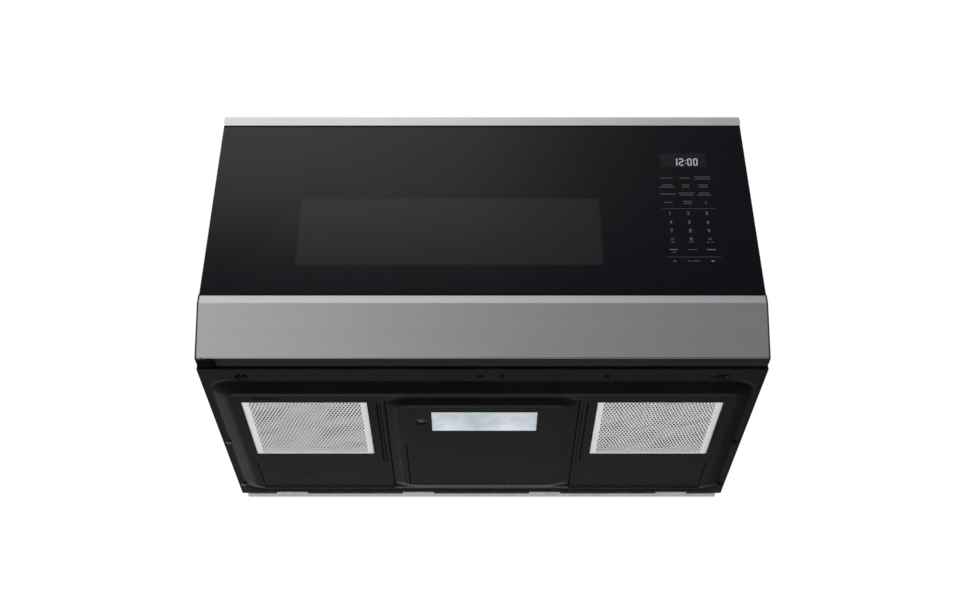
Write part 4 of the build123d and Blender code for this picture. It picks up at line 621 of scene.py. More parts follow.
@dataclass(frozen=True)
class BoardFace(Finish):
    """Circuit board: green mask with its copper tracks showing through."""

    track: Point3

    def sockets(self, shader: Shader, place: Sock) -> Sockets:
        """Tracks along the edges of square cells.

        Args:
            shader: Shader of the new material.
            place: Its object coordinates.

        Returns:
            Values and links of the sockets.
        """
        tracks = shader.eased(shader.cells(place, 170.0, "Distance", "MANHATTAN"), 0.48, 0.56)
        return {
            "Base Color": shader.mixed(tracks, self.colour, self.track),
            "Roughness": 0.35 + shader.noise(place, 90.0) * 0.15,
            "Normal": shader.bump(tracks, 0.00006, 0.6),
        }


@dataclass(frozen=True)
class Ink(Finish):
    """Pale print that shows through the glass, lit a little."""

    glow: float

    def sockets(self, shader: Shader, place: Sock) -> Sockets:
        """Slightly uneven print.

        Args:
            shader: Shader of the new material.
            place: Its object coordinates.

        Returns:
            Values and links of the sockets.
        """
        tone = shader.noise(place, 700.0)
        colour = shader.mixed(tone, shaded(self.colour, 0.9), self.colour)
        return {
            "Base Color": colour,
            "Roughness": 0.35 + tone * 0.1,
            "Emission Color": colour,
            "Emission Strength": self.glow,
        }


FINISHES: dict[str, Finish] = {
    "stainless": BrushedMetal("stainless_brushed", (0.74, 0.74, 0.76), 0.3, 0, 1500.0, 0.000008, 0.05),
    # top trim: the band's brushed stainless painted lighter, a painted highlight for the bright top strip
    "trim": BrushedMetal("stainless_trim_painted_highlight", (0.96, 0.96, 0.96), 0.28, 0, 1500.0, 0.000006, 0.03),
    "paint": Paint("black_paint_satin", (0.0030, 0.0030, 0.0034), 0.27),
    "dull": Paint("black_dull", (0.0015, 0.0015, 0.0017), 0.6, shine=0.08),
    "paint_inner": Paint("black_paint_inside", (0.005, 0.005, 0.0055), 0.5),
    "screen": Paint("screen_black", (0.02, 0.02, 0.02), 0.5),
    "plastic": Plastic("black_plastic_grained", (0.017, 0.017, 0.018)),
    "plastic_gloss": Plastic("black_plastic_smooth", (0.012, 0.012, 0.013), 0.28, 500.0),
    "white_plastic": Plastic("white_plastic_moulded", (0.72, 0.72, 0.70), 0.4),
    "zinc": Zinc("zinc_sheet", (0.52, 0.53, 0.54)),
    # chassis shelf: zinc painted dark as painted shade, for the shelf in shadow inside the case behind the
    # filter meshes
    "shade_painted_zinc": Zinc("zinc_sheet_shaded", (0.07, 0.07, 0.073)),
    "pale_zinc": Zinc("zinc_plate_pale", (0.70, 0.71, 0.72), 0.45, 0.3),
    "aluminium": BrushedMetal("aluminium_rolled", (0.86, 0.86, 0.87), 0.42, 1, 700.0, 0.00001, 0.05, 0.3),
    "filter_bar": BrushedMetal(
        "aluminium_filter_bar", (0.96, 0.96, 0.96), 0.4, 1, 700.0, 0.00001, 0.02, 0.1
    ),
    "mesh": BrushedMetal("aluminium_mesh_strand", (0.98, 0.98, 0.98), 0.45, 1, 500.0, 0.00001, 0.06, 0.1),
    "screw": BrushedMetal("screw_black_zinc", (0.055, 0.055, 0.058), 0.34, 2, 900.0, 0.00001, 0.2),
    "plated": BrushedMetal("plated_steel", (0.5, 0.5, 0.5), 0.3, 2, 900.0, 0.00001, 0.1),
    "glass": DoorGlass(
        "black_door_glass",
        (0.0028, 0.0026, 0.0050),
        SoftPatch((-254.0, 164.0), (147.5, 260.5), 2.2, (0.0145, 0.0142, 0.017)),
        SoftPatch((255.3, 321.3), (318.6, 343.6), 2.4, (0.010, 0.010, 0.012)),
    ),
    "film": ClearGlass("clear_window_film", (0.16, 0.17, 0.18), 0.2),
    "clear": ClearGlass("clear_glass_film", (0.80, 0.86, 0.87), 0.35),
    "lens": LitLens(
        "lamp_lens_lit",
        (0.50, 0.55, 0.57),
        (0.90, 0.88, 1.0),
        (0.15, 0.25, 0.26),
        0.4,
        ((-46.0, -24.0), (38.0, -24.0)),
    ),
    "enamel": Enamel("oven_enamel", (0.36, 0.36, 0.37), (0.10, 0.10, 0.11)),
    "core": Banded("core_lamellas", (0.30, 0.30, 0.31), (0.09, 0.08, 0.08), 1.0, 1, 0.8),
    "winding": Banded("winding_wire", (0.55, 0.24, 0.10), (0.20, 0.07, 0.03), 1.1, 2, 0.7),
    "fins": Banded("cooling_fins", (0.62, 0.62, 0.63), (0.30, 0.30, 0.31), 2.4, 0, 0.9),
    "charcoal": Granules("charcoal_granules", (0.010, 0.010, 0.010), (0.05, 0.05, 0.05), 2.2),
    "mica": Granules("mica_pressed", (0.42, 0.37, 0.29), (0.62, 0.57, 0.47), 1.6, 0.5),
    "rubber": Granules("rubber_moulded", (0.012, 0.012, 0.012), (0.03, 0.03, 0.03), 0.5, 0.7),
    "board": BoardFace("board_face", (0.012, 0.09, 0.03), (0.03, 0.16, 0.06)),
    "ink": Ink("pale_print", (0.11, 0.11, 0.12), 0.02),
    "clock": Ink("clock_segments", (0.52, 0.53, 0.56), 0.05),
}


class Finishes:
    """Each finish, made once when it is first asked for."""

    def __init__(self) -> None:
        """Start with none made."""
        self._made: dict[str, Material] = {}

    def __getitem__(self, name: str) -> Material:
        """Material of one finish.

        Args:
            name: Name of the finish.

        Returns:
            The material.
        """
        if name not in self._made:
            self._made[name] = FINISHES[name].build()
        return self._made[name]


# ---------------------------------------------------------------- mesh tools
def link(mesh: Mesh, name: str, material: Material) -> Object:
    """Object of a mesh, in the scene, with its material.

    Args:
        mesh: The mesh.
        name: Name of the object.
        material: Its finish.

    Returns:
        The object.
    """
    made = bpy.data.objects.new(name, mesh)
    bpy.context.scene.collection.objects.link(made)
    mesh.materials.clear()
    mesh.materials.append(material)
    return made


def smooth(mesh: Mesh, angle: float = SHARP_ANGLE) -> None:
    """Smooth shading with edges kept sharp above an angle, and wide faces left flat.

    Args:
        mesh: The mesh.
        angle: The angle in degrees.
    """
    mesh.set_sharp_from_angle(angle=radians(angle))
    mesh.polygons.foreach_set("use_smooth", [face.area < WIDE_FACE for face in mesh.polygons])
    mesh.update()


def from_lists(
    name: str,
    points: Sequence[Point3],
    faces: Sequence[Sequence[int]],
    material: Material,
    outward: bool = True,
    angle: float = SHARP_ANGLE,
) -> Object:
    """Object from points in millimetres.

    Args:
        name: Name of the piece.
        points: Its points.
        faces: Its faces as indices of points.
        material: Its finish.
        outward: Whether to turn the faces of a closed shape outwards.
        angle: Sharp edges above this angle, in degrees.

    Returns:
        The object, in the scene.
    """
    mesh = bpy.data.meshes.new(name)
    mesh.from_pydata([tuple(c * MM for c in p) for p in points], [], faces)
    if outward:
        form = bmesh.new()
        form.from_mesh(mesh)
        bmesh.ops.remove_doubles(form, verts=form.verts, dist=SAME_POINT)
        bmesh.ops.recalc_face_normals(form, faces=form.faces)
        form.to_mesh(mesh)
        form.free()
    smooth(mesh, angle)
    return link(mesh, name, material)


def settled(piece: Object, angle: float = SHARP_ANGLE) -> Object:
    """Piece with its modifiers worked into its mesh.

    Args:
        piece: The piece.
        angle: Sharp edges above this angle, in degrees.

    Returns:
        The same piece.
    """
    bpy.context.view_layer.update()
    evaluated = piece.evaluated_get(bpy.context.evaluated_depsgraph_get())
    mesh = bpy.data.meshes.new_from_object(evaluated)
    old = piece.data
    piece.modifiers.clear()
    piece.data = mesh
    mesh.name = piece.name
    if old.users == 0:
        bpy.data.meshes.remove(old)
    smooth(mesh, angle)
    return piece


def rounded_path(
    points: Sequence[Point], radii: Sequence[float], steps: int, margin: float = 0.3
) -> list[Point]:
    """Open path with arcs at its inner points.

    Args:
        points: Corners of the path.
        radii: Radius at each inner point.
        steps: Pieces of each arc.
        margin: Way from an arc's end to one more point, which keeps the flat beside it flat.

    Returns:
        Points of the path.
    """
    path = [points[0]]
    for before, at, after, radius in zip(points, points[1:], points[2:], radii):
        arms = []
        for end in (before, after):
            length = hypot(end[0] - at[0], end[1] - at[1])
            arms.append(((end[0] - at[0]) / length, (end[1] - at[1]) / length))
        (ax, ay), (bx, by) = arms
        angle = abs(atan2(ax * by - ay * bx, ax * bx + ay * by))
        reach = radius * cos(angle / 2) / sin(angle / 2)
        start, end = ([at[i] + arm[i] * reach for i in (0, 1)] for arm in arms)
        path.append((start[0] + ax * margin, start[1] + ay * margin))
        for step in range(steps + 1):
            share = step / steps
            low = [start[i] + (at[i] - start[i]) * share for i in (0, 1)]
            high = [at[i] + (end[i] - at[i]) * share for i in (0, 1)]
            path.append((low[0] + (high[0] - low[0]) * share, low[1] + (high[1] - low[1]) * share))
        path.append((end[0] + bx * margin, end[1] + by * margin))
    path.append(points[-1])
    return path


def thickened(path: Sequence[Point], thickness: float) -> list[Point]:
    """Closed outline of a sheet.

    Args:
        path: Its outer side.
        thickness: Its thickness, which lies to the left of the path.

    Returns:
        The outline: the outer side, and then the inner one backwards.
    """
    inner = []
    for index, at in enumerate(path):
        before, after = path[max(index - 1, 0)], path[min(index + 1, len(path) - 1)]
        run = (after[0] - before[0], after[1] - before[1])
        length = hypot(*run)
        inner.append((at[0] - run[1] / length * thickness, at[1] + run[0] / length * thickness))
    return list(path) + inner[::-1]


def drawn_along_x(
    name: str, outline: Sequence[Point], x: Point, material: Material, angle: float = CRISP_ANGLE
) -> Object:
    """Y-Z outline drawn out between two sides.

    Args:
        name: Name of the piece.
        outline: Its section, whose two halves lie side by side.
        x: Its two sides.
        material: Its finish.
        angle: Sharp edges above this angle, in degrees.

    Returns:
        The piece.
    """
    count = len(outline)
    points = [(side, y, z) for side in x for y, z in outline]
    faces = [(i, (i + 1) % count, count + (i + 1) % count, count + i) for i in range(count)]
    for base in (0, count):
        for i in range(count // 2 - 1):
            faces.append((base + i, base + i + 1, base + count - 2 - i, base + count - 1 - i))
    return from_lists(name, points, faces, material, True, angle)


def joined(name: str, pieces: Iterable[Object], material: Material) -> Object:
    """One object from several.

    Args:
        name: Name of the whole.
        pieces: The pieces, which are used up.
        material: Finish of the whole.

    Returns:
        The whole.
    """
    form = bmesh.new()
    for piece in pieces:
        form.from_mesh(piece.data)
        mesh = piece.data
        bpy.data.objects.remove(piece)
        bpy.data.meshes.remove(mesh)
    whole = bpy.data.meshes.new(name)
    form.to_mesh(whole)
    form.free()
    smooth(whole)
    return link(whole, name, material)


class Tree:
    """Geometry Nodes tree with named inputs."""

    def __init__(self, name: str, sizes: dict[str, Number]) -> None:
        """Start the tree.

        Args:
            name: Name of the tree.
            sizes: Its inputs, with their values.
        """
        self.tree = bpy.data.node_groups.new(name, "GeometryNodeTree")
        face = self.tree.interface
        face.new_socket("Geometry", in_out="INPUT", socket_type="NodeSocketGeometry")
        face.new_socket("Geometry", in_out="OUTPUT", socket_type="NodeSocketGeometry")
        self.sizes = sizes
        self.ids: dict[str, str] = {}
        for size, value in sizes.items():
            kind = "NodeSocketInt" if isinstance(value, int) else "NodeSocketFloat"
            self.ids[size] = face.new_socket(size, in_out="INPUT", socket_type=kind).identifier
        self.source = self.tree.nodes.new("NodeGroupInput")

    def size(self, name: str) -> NodeSocket:
        """Socket of one input."""
        return self.source.outputs[name]

    def add(self, kind: str, inputs: Inputs = None, settings: Settings = None) -> NodeSocket:
        """First output of an added node."""
        return add_node(self.tree, kind, settings, inputs).outputs[0]

    def maths(self, operation: str, *terms: object) -> NodeSocket:
        """Value of a Math node."""
        return self.add("ShaderNodeMath", dict(enumerate(terms)), {"operation": operation})

    def vector(self, x: object, y: object, z: object) -> NodeSocket:
        """Vector of three values."""
        return self.add("ShaderNodeCombineXYZ", {0: x, 1: y, 2: z})

    def cube(self, size: object) -> NodeSocket:
        """Block of three sizes."""
        return self.add("GeometryNodeMeshCube", {"Size": size})

    def moved(self, geometry: NodeSocket, shift: Point3 = ORIGIN, turn: Point3 = ORIGIN) -> NodeSocket:
        """Geometry turned and moved."""
        inputs = {"Geometry": geometry, "Translation": shift, "Rotation": turn}
        return self.add("GeometryNodeTransform", inputs)

    def together(self, parts: list[NodeSocket]) -> NodeSocket:
        """Several geometries as one."""
        return self.add("GeometryNodeJoinGeometry", {0: parts})

    def copies(self, points: NodeSocket, instance: NodeSocket) -> NodeSocket:
        """An instance on each point."""
        return self.add("GeometryNodeInstanceOnPoints", {"Points": points, "Instance": instance})

    def grid(self, pitches: tuple[str, str], counts: tuple[str, str]) -> NodeSocket:
        """Grid of points in the X-Y plane, round the origin.

        Args:
            pitches: Names of the inputs that hold its two pitches.
            counts: Names of the inputs that hold its two counts.

        Returns:
            The grid.
        """
        inputs = {}
        for axis, pitch, count in zip("XY", pitches, counts):
            gaps = self.maths("SUBTRACT", self.size(count), 1.0)
            inputs[f"Size {axis}"] = self.maths("MULTIPLY", self.size(pitch), gaps)
            inputs[f"Vertices {axis}"] = self.size(count)
        return self.add("GeometryNodeMeshGrid", inputs)

    def realized(self, geometry: NodeSocket) -> NodeSocket:
        """Instances turned into real geometry."""
        return self.add("GeometryNodeRealizeInstances", {0: geometry})

    def made(
        self, name: str, result: NodeSocket, material: Material, places: Sequence[Point3] = ()
    ) -> Object:
        """Run the tree and keep its result as a plain mesh.

        Args:
            name: Name of the piece.
            result: Last socket of the tree.
            material: Finish of the piece.
            places: Points that the tree starts from, in millimetres.

        Returns:
            The piece.
        """
        inputs = {"Geometry": self.realized(result), "Material": material}
        add_node(self.tree, "NodeGroupOutput", {}, {0: self.add("GeometryNodeSetMaterial", inputs)})
        start = bpy.data.meshes.new(f"{name}_start")
        start.from_pydata([tuple(c * MM for c in place) for place in places], [], [])
        piece = link(start, name, material)
        modifier = piece.modifiers.new(name, "NODES")
        modifier.node_group = self.tree
        for size, value in self.sizes.items():
            modifier[self.ids[size]] = value
        return settled(piece)


# ---------------------------------------------------------------- frame access
@dataclass
class Frame:
    """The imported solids, with what dresses and replaces them.

    A softened copy first loses doubled points and flat edges: the weld is in metres and the
    angles are in degrees.
    """

    nodes: dict[str, Object]
    bodies: dict[str, str]
    finishes: Finishes = field(default_factory=Finishes)
    weld: float = 2e-6
    flat: float = 0.5
    soft_edge: float = 40.0
    soft_shade: float = 50.0

    def span(self, node: str) -> tuple[Point, Point, Point]:
        """Low and high end of a node along each axis, in millimetres."""
        low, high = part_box(node)
        return tuple((a / MM, b / MM) for a, b in zip(low, high))

    def dress(self, finish: str, *nodes: str) -> None:
        """Give solids their finish.

        Args:
            finish: Name of the finish.
            nodes: The solids.
        """
        for node in nodes:
            mesh = self.nodes[node].data
            mesh.materials.clear()
            mesh.materials.append(self.finishes[finish])
            LOG.info("dressed %s in %s", node, finish)

    def put(self, piece: Object, body: str, slot: Slot, replaces: Sequence[str] = ()) -> None:
        """Hand a new piece to the frame.

        Args:
            piece: The piece.
            body: Body that it rides on.
            slot: Not used.
            replaces: Solids that it stands for.
        """
        if replaces:
            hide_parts(*replaces)
        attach(piece, body)
        LOG.info("%s rides on %s with %d faces", piece.name, body, len(piece.data.polygons))

    def soften(
        self, node: str, finish: str, radius: float, slot: Slot, shift: Point3 = ORIGIN, steps: int = 2
    ) -> None:
        """Replace a solid by its copy with rounded edges.

        Args:
            node: The solid.
            finish: Finish of the copy.
            radius: Radius of its edges.
            slot: Not used; only handed on to put.
            shift: How far it is moved, in millimetres.
            steps: Pieces of each rounded edge.
        """
        form = bmesh.new()
        form.from_mesh(self.nodes[node].data)
        bmesh.ops.remove_doubles(form, verts=form.verts, dist=self.weld)
        flat = radians(self.flat)
        bmesh.ops.dissolve_limit(form, angle_limit=flat, verts=form.verts, edges=form.edges)
        bmesh.ops.translate(form, verts=form.verts, vec=Vector(shift) * MM)
        name = f"{node}_dressed"
        mesh = bpy.data.meshes.new(name)
        form.to_mesh(mesh)
        form.free()
        piece = link(mesh, name, self.finishes[finish])
        bevel = piece.modifiers.new("edges", "BEVEL")
        bevel.width = radius * MM
        bevel.segments = steps
        bevel.limit_method = "ANGLE"
        bevel.angle_limit = radians(self.soft_edge)
        bevel.use_clamp_overlap = True
        bevel.harden_normals = False
        self.put(settled(piece, self.soft_shade), self.bodies[node], slot, [node])


# ---------------------------------------------------------------- studio
@dataclass
class Lamp:
    """Soft square lamp, with its places in metres and its power in watts."""

    name: str
    place: Point3
    aim: Point3
    size: float
    power: float
    mirrored: bool = True

    def build(self) -> None:
        """Make the lamp; one that isn't mirrored is hidden from glossy surfaces."""
        data = bpy.data.lights.new(self.name, "AREA")
        data.size = self.size
        data.energy = self.power
        lamp = bpy.data.objects.new(self.name, data)
        lamp.location = self.place
        lamp.visible_glossy = self.mirrored
        way = Vector(self.aim) - Vector(self.place)
        lamp.rotation_euler = way.to_track_quat("-Z", "Y").to_euler()
        bpy.context.scene.collection.objects.link(lamp)


LAMPS = (
    Lamp("key", (-2.8, -1.5, 1.5), (0, 0, 0.2), 1.2, 49),
    Lamp("fill", (2.6, -1.4, 0.4), (0, 0, 0.2), 1.6, 9),
    Lamp("under", (-0.9, -1.6, -1.3), ORIGIN, 1.0, 16, False),
    Lamp("low", (-0.5, -1.5, -1.5), ORIGIN, 1.0, 2.5),
    Lamp("back", (0.6, 2.6, 1.4), (0, 0, 0.2), 1.8, 24, False),
)


@dataclass
class Studio:
    """Camera below the door, soft lamps, a world that gloss shows and a pale floor; in metres."""

    camera_place: Point3 = (-0.0073, -1.5896, -0.8174)
    camera_tilt: float = 123.4535
    lens: float = 46.54
    sensor: float = 36.0
    nearest: float = 0.01
    floor_level: float = -1.3
    floor_size: float = 14.0
    white: Point3 = (1.0, 1.0, 1.0)
    ambient: Point3 = (0.62, 0.62, 0.63)
    top: Point3 = (0.95, 0.95, 0.96)
    straight_down: Point3 = (0.03, 0.03, 0.03)
    high_back: Point3 = (0.1, 0.1, 0.1)
    rise_span: Point = (0.55, 0.70)
    rise: Stops = (
        (0.03, 0.09), (0.13, 0.18), (0.24, 0.34), (0.37, 0.61), (0.5, 0.81), (0.62, 0.9), (0.73, 1.0),
    )
    across_span: Point = (-0.25, 0.25)
    across: Stops = (
        (0.12, 1.0), (0.24, 0.96), (0.38, 0.81), (0.5, 0.66), (0.57, 0.47), (0.64, 0.32),
        (0.7, 0.20), (0.76, 0.12), (0.9, 0.03),
    )
    glow: Point = (0.085, 0.87)
    ceiling: Point = (0.677, 0.737)
    low_span: Point = (-0.6, 0.6)
    low_front: Stops = (
        (0.0, 0.68), (0.3, 0.555), (0.4, 0.435), (0.5, 0.295), (0.6, 0.215), (0.7, 0.19), (1.0, 0.15),
    )
    low_back: Stops = ((0.0, 0.12), (0.5, 0.14), (0.7, 0.115), (1.0, 0.02))
    far: Stops = ((0.0, 0.28), (0.3, 0.46), (0.55, 0.42), (0.7, 0.2), (0.85, 0.03))
    level_edge: Point = (0.38, 0.54)
    front_foot: Point = (-0.62, -0.42)
    back_foot: Point = (-0.88, -0.6)
    far_edge: Point = (-0.35, -0.22)
    back_edge: Point = (-0.08, 0.16)
    turn_edge: Point = (-0.25, 0.25)

    def camera(self) -> None:
        """Make the camera."""
        data = bpy.data.cameras.new("camera")
        data.lens = self.lens
        data.sensor_width = self.sensor
        data.sensor_fit = "HORIZONTAL"
        data.clip_start = self.nearest
        camera = bpy.data.objects.new("camera", data)
        camera.location = self.camera_place
        camera.rotation_euler = (radians(self.camera_tilt), 0, 0)
        bpy.context.scene.collection.objects.link(camera)
        bpy.context.scene.camera = camera

    def front(self, shader: Shader, x: Sock, z: Sock) -> Sock:
        """What gloss shows in front of the door.

        Args:
            shader: Shader of the world.
            x: Sideways part of the direction.
            z: Upward part of the direction.

        Returns:
            The colour.
        """
        rise = shader.greys(shader.spread(z, *self.rise_span), self.rise)
        across = shader.greys(shader.spread(x, *self.across_span), self.across)
        glow = rise * across * self.glow[1] + self.glow[0]
        above = shader.mixed(shader.eased(z, *self.ceiling), glow, self.top)
        level = shader.greys(shader.spread(x, *self.low_span), self.low_front)
        front = shader.mixed(shader.eased(z, *self.level_edge), level, above)
        return shader.mixed(shader.eased(z, *self.front_foot), self.straight_down, front)

    def rear(self, shader: Shader, x: Sock, z: Sock) -> Sock:
        """What gloss shows behind the object.

        Args:
            shader: Shader of the world.
            x: Sideways part of the direction.
            z: Upward part of the direction.

        Returns:
            The colour.
        """
        side = shader.greys(shader.spread(x, *self.low_span), self.low_back)
        under = shader.mixed(shader.eased(z, *self.back_foot), self.straight_down, side)
        horizon = shader.greys(shader.spread(x, *self.low_span), self.far)
        far = shader.mixed(shader.eased(z, *self.far_edge), under, horizon)
        return shader.mixed(shader.eased(z, *self.back_edge), far, self.high_back)

    def world(self) -> None:
        """White to the camera, a soft studio to gloss and an even light for the rest."""
        world = bpy.data.worlds.new("studio")
        bpy.context.scene.world = world
        shader = Shader(world)
        x, y, z = shader.axes(shader.node("ShaderNodeTexCoord", {}, {}, "Generated"))
        front, rear = self.front(shader, x, z), self.rear(shader, x, z)
        seen = shader.mixed(shader.eased(y, *self.turn_edge), front, rear)
        glossy, camera, through = (
            shader.node("ShaderNodeLightPath", {}, {}, f"Is {kind} Ray")
            for kind in ("Glossy", "Camera", "Transmission")
        )
        colour = shader.mixed(glossy, self.ambient, seen)
        colour = shader.mixed(camera.at_least(through), colour, self.white)
        shine = shader.node("ShaderNodeBackground", {}, {"Color": colour, "Strength": 1.0}, "Background")
        shader.end("ShaderNodeOutputWorld", shine)

    def floor(self) -> None:
        """Pale floor below the object, which gloss doesn't show."""
        half = self.floor_size / 2 / MM
        level = self.floor_level / MM
        corners = [(x * half, y * half, level) for x, y in ((-1, -1), (1, -1), (1, 1), (-1, 1))]
        shader = Shader(bpy.data.materials.new("floor_pale"))
        tone = shader.noise(shader.place(), 2.0)
        pale = shader.surface({
            "Base Color": shader.mixed(tone, (0.82, 0.82, 0.82), (0.86, 0.86, 0.86)),
            "Roughness": 0.7 + tone * 0.1,
        })
        open_air = shader.node("ShaderNodeBsdfTransparent", {}, {}, "BSDF")
        glossy = shader.node("ShaderNodeLightPath", {}, {}, "Is Glossy Ray")
        both = shader.node("ShaderNodeMixShader", {}, {0: glossy, 1: pale, 2: open_air}, "Shader")
        material = shader.end("ShaderNodeOutputMaterial", both)
        from_lists("floor", corners, [(0, 1, 2, 3)], material, False)

    def build(self) -> None:
        """Make the studio."""
        self.camera()
        self.world()
        self.floor()
        for lamp in LAMPS:
            lamp.build()
        bpy.context.scene.view_settings.view_transform = "Standard"


# ---------------------------------------------------------------- door
@dataclass
class KeyPanel:
    """Print of the touch keys and the clock behind the glass: digits, dashes and rules."""

    frame: Frame
    face: float
    columns: Point3 = (261.8, 287.5, 313.2)
    digit_rows: tuple[float, ...] = (235.2, 219.9, 205.0, 190.6)
    digit_height: float = 5.8
    digit_scale: float = 1.38
    digit_weight: float = 0.12
    captions: tuple[tuple[float, tuple[Point, ...]], ...] = (
        (300.2, ((302.1, 324.4),)),
        (298.3, ((253.4, 270.3), (281.1, 295.0))),
        (296.4, ((303.4, 324.4),)),
        (285.7, ((255.3, 269.6), (283.2, 293.1), (306.4, 319.7))),
        (281.9, ((251.7, 272.6), (283.2, 293.1), (307.4, 319.7))),
        (271.2, ((277.5, 299.4), (306.3, 319.8))),
        (269.3, ((250.6, 273.5),)),
        (267.4, ((279.1, 297.4), (303.9, 322.2))),
        (256.4, ((282.9, 294.3),)),
        (254.5, ((256.5, 267.0),)),
        (252.6, ((282.9, 294.3),)),
    )
    pictogram: Point = (313.6, 254.5)
    pictogram_size: Point = (1.8, 2.2)
    start_row: float = 172.6
    start_bars: tuple[Point, ...] = ((9.0, 1.76), (12.0, 0.66), (11.0, 1.76))
    last_row: float = 153.5
    last_dot: Point = (1.6, 3.0)
    caption_drops: Point = (5.6, 4.4)
    caption_gap: float = 2.0
    rules: Point = (243.2, 160.2)
    rule_span: Point = (252.0, 325.0)
    rule_stroke: float = 0.35
    stroke: float = 0.85
    thickness: float = 0.1
    clock_x: Point = (276.4, 311.4)
    clock_z: Point = (321.9, 333.6)
    clock_digits: tuple[tuple[str, float], ...] = (("1", -0.2), ("2", 0.85), ("0", 2.35), ("0", 3.4))
    clock_pitches: float = 4.35
    clock_gap: float = 3.4
    clock_stroke: float = 1.7
    clock_slant: float = 0.05
    colon: Point3 = (1.98, 2.6, 0.01)
    parts: list[Object] = field(default_factory=list)

    def bar(self, start: Point, end: Point, width: float) -> None:
        """Bar with round ends between two points of the door's face.

        Args:
            start: Middle of its first round end.
            end: Middle of its other round end.
            width: Its width.
        """
        angle = atan2(end[1] - start[1], end[0] - start[0])
        outline = []
        for centre, turn in ((end, -pi / 2), (start, pi / 2)):
            for step in range(5):
                a = angle + turn + pi * step / 4
                outline.append((centre[0] + cos(a) * width / 2, centre[1] + sin(a) * width / 2))
        count = len(outline)
        points = [(x, self.face, z) for x, z in outline]
        points += [(x, self.face + self.thickness, z) for x, z in outline]
        faces = [tuple(range(count)), tuple(range(2 * count - 1, count - 1, -1))]
        faces += [(i, i + count, (i + 1) % count + count, (i + 1) % count) for i in range(count)]
        self.parts.append(from_lists("bar", points, faces, self.frame.finishes["ink"]))

    def level(self, x: float, z: float, width: float, stroke: float) -> None:
        """Level bar round a middle; its width is from one round end's middle to the other's."""
        self.bar((x - width / 2, z), (x + width / 2, z), stroke)

    def arrow(self, x: float, z: float, half: float, low: float, high: float) -> None:
        """Arrow of two bars, its half width beside a middle, its ends below a row and its tip above."""
        self.bar((x - half, z - low), (x, z + high), self.stroke)
        self.bar((x, z + high), (x + half, z - low), self.stroke)

    def words(self, x: float, z: float, *lengths: float) -> None:
        """Row of short dashes in place of a key's words.

        Args:
            x: Middle of the row.
            z: Height of the row.
            lengths: Length of each dash.
        """
        at = x - (sum(lengths) + self.caption_gap * (len(lengths) - 1)) / 2
        for length in lengths:
            self.bar((at + self.stroke / 2, z), (at + length - self.stroke / 2, z), self.stroke)
            at += length + self.caption_gap

    def digit(self, text: str, x: float, z: float) -> None:
        """One digit, set upright on the glass.

        Args:
            text: The digit.
            x: Its middle.
            z: Height of its middle.
        """
        curve = bpy.data.curves.new("digit", "FONT")
        curve.body = text
        curve.size = self.digit_height * self.digit_scale * MM
        curve.align_x = "CENTER"
        curve.extrude = self.thickness / 2 * MM
        curve.resolution_u = 3
        curve.offset = self.digit_weight * MM
        holder = bpy.data.objects.new("digit", curve)
        mesh = bpy.data.meshes.new_from_object(holder)
        bpy.data.objects.remove(holder)
        bpy.data.curves.remove(curve)
        place = Vector((x, self.face + self.thickness / 2, z - self.digit_height / 2)) * MM
        mesh.transform(Matrix.Translation(place) @ Matrix.Rotation(pi / 2, 4, "X"))
        self.parts.append(link(mesh, "digit", self.frame.finishes["ink"]))

    def keys(self) -> None:
        """Print of the keys, as one piece."""
        self.parts = []
        for z, spans in self.captions:
            for start, end in spans:
                self.bar((start, z), (end, z), self.stroke)
        (x, z), (width, half) = self.pictogram, self.pictogram_size
        self.bar((x, z - half), (x, z + half), self.stroke)
        self.bar((x, z - half), (x + width, z - half), self.stroke)
        left, middle, right = self.columns
        for index in range(9):
            self.digit(str(index + 1), self.columns[index % 3], self.digit_rows[index // 3])
        z = self.digit_rows[3]
        self.digit("0", middle, z)
        for x in (left, right):
            self.arrow(x, z, 2.0, 1.6, 2.0)
        for x, dashes in ((left, (6.0,)), (middle, (3.0, 3.0)), (right, (4.0, 4.0))):
            self.words(x, z - self.caption_drops[0], *dashes)
        for x, (width, stroke) in zip(self.columns, self.start_bars):
            self.level(x, self.start_row, width, stroke)
        self.words(left, self.start_row - self.caption_drops[1], 5.0)
        self.arrow(left, self.last_row, 2.2, 1.2, 1.6)
        self.words(middle, self.last_row, 6.0, 9.0)
        self.level(right, self.last_row, *self.last_dot)
        for z in self.rules:
            self.bar((self.rule_span[0], z), (self.rule_span[1], z), self.rule_stroke)
        self.frame.put(joined("key_print", self.parts, self.frame.finishes["ink"]), "door", Slot.GLASS)

    def clock(self) -> None:
        """Clock digits of the display, in rounded segments, as one piece."""
        self.parts = []
        low, high = self.clock_z
        levels = (low, (low + high) / 2, high)
        pitch = (self.clock_x[1] - self.clock_x[0]) / self.clock_pitches
        ends = {
            "a": ((0, 2), (1, 2)), "b": ((1, 2), (1, 1)), "c": ((1, 1), (1, 0)), "d": ((0, 0), (1, 0)),
            "e": ((0, 1), (0, 0)), "f": ((0, 2), (0, 1)), "g": ((0, 1), (1, 1)),
        }
        lit = {"1": "bc", "2": "abged", "0": "abcdef"}
        for text, place in self.clock_digits:
            left = self.clock_x[0] + place * pitch
            sides = (left, left + pitch - self.clock_gap)
            for segment in lit[text]:
                start, end = (
                    (sides[i] + (levels[j] - low) * self.clock_slant, levels[j]) for i, j in ends[segment]
                )
                self.bar(start, end, self.clock_stroke)
        x = self.clock_x[0] + self.colon[0] * pitch
        for z in (levels[1] - self.colon[1], levels[1] + self.colon[1]):
            self.bar((x, z), (x + self.colon[2], z), self.clock_stroke)
        self.frame.put(joined("clock_digits", self.parts, self.frame.finishes["clock"]), "door", Slot.GLASS)


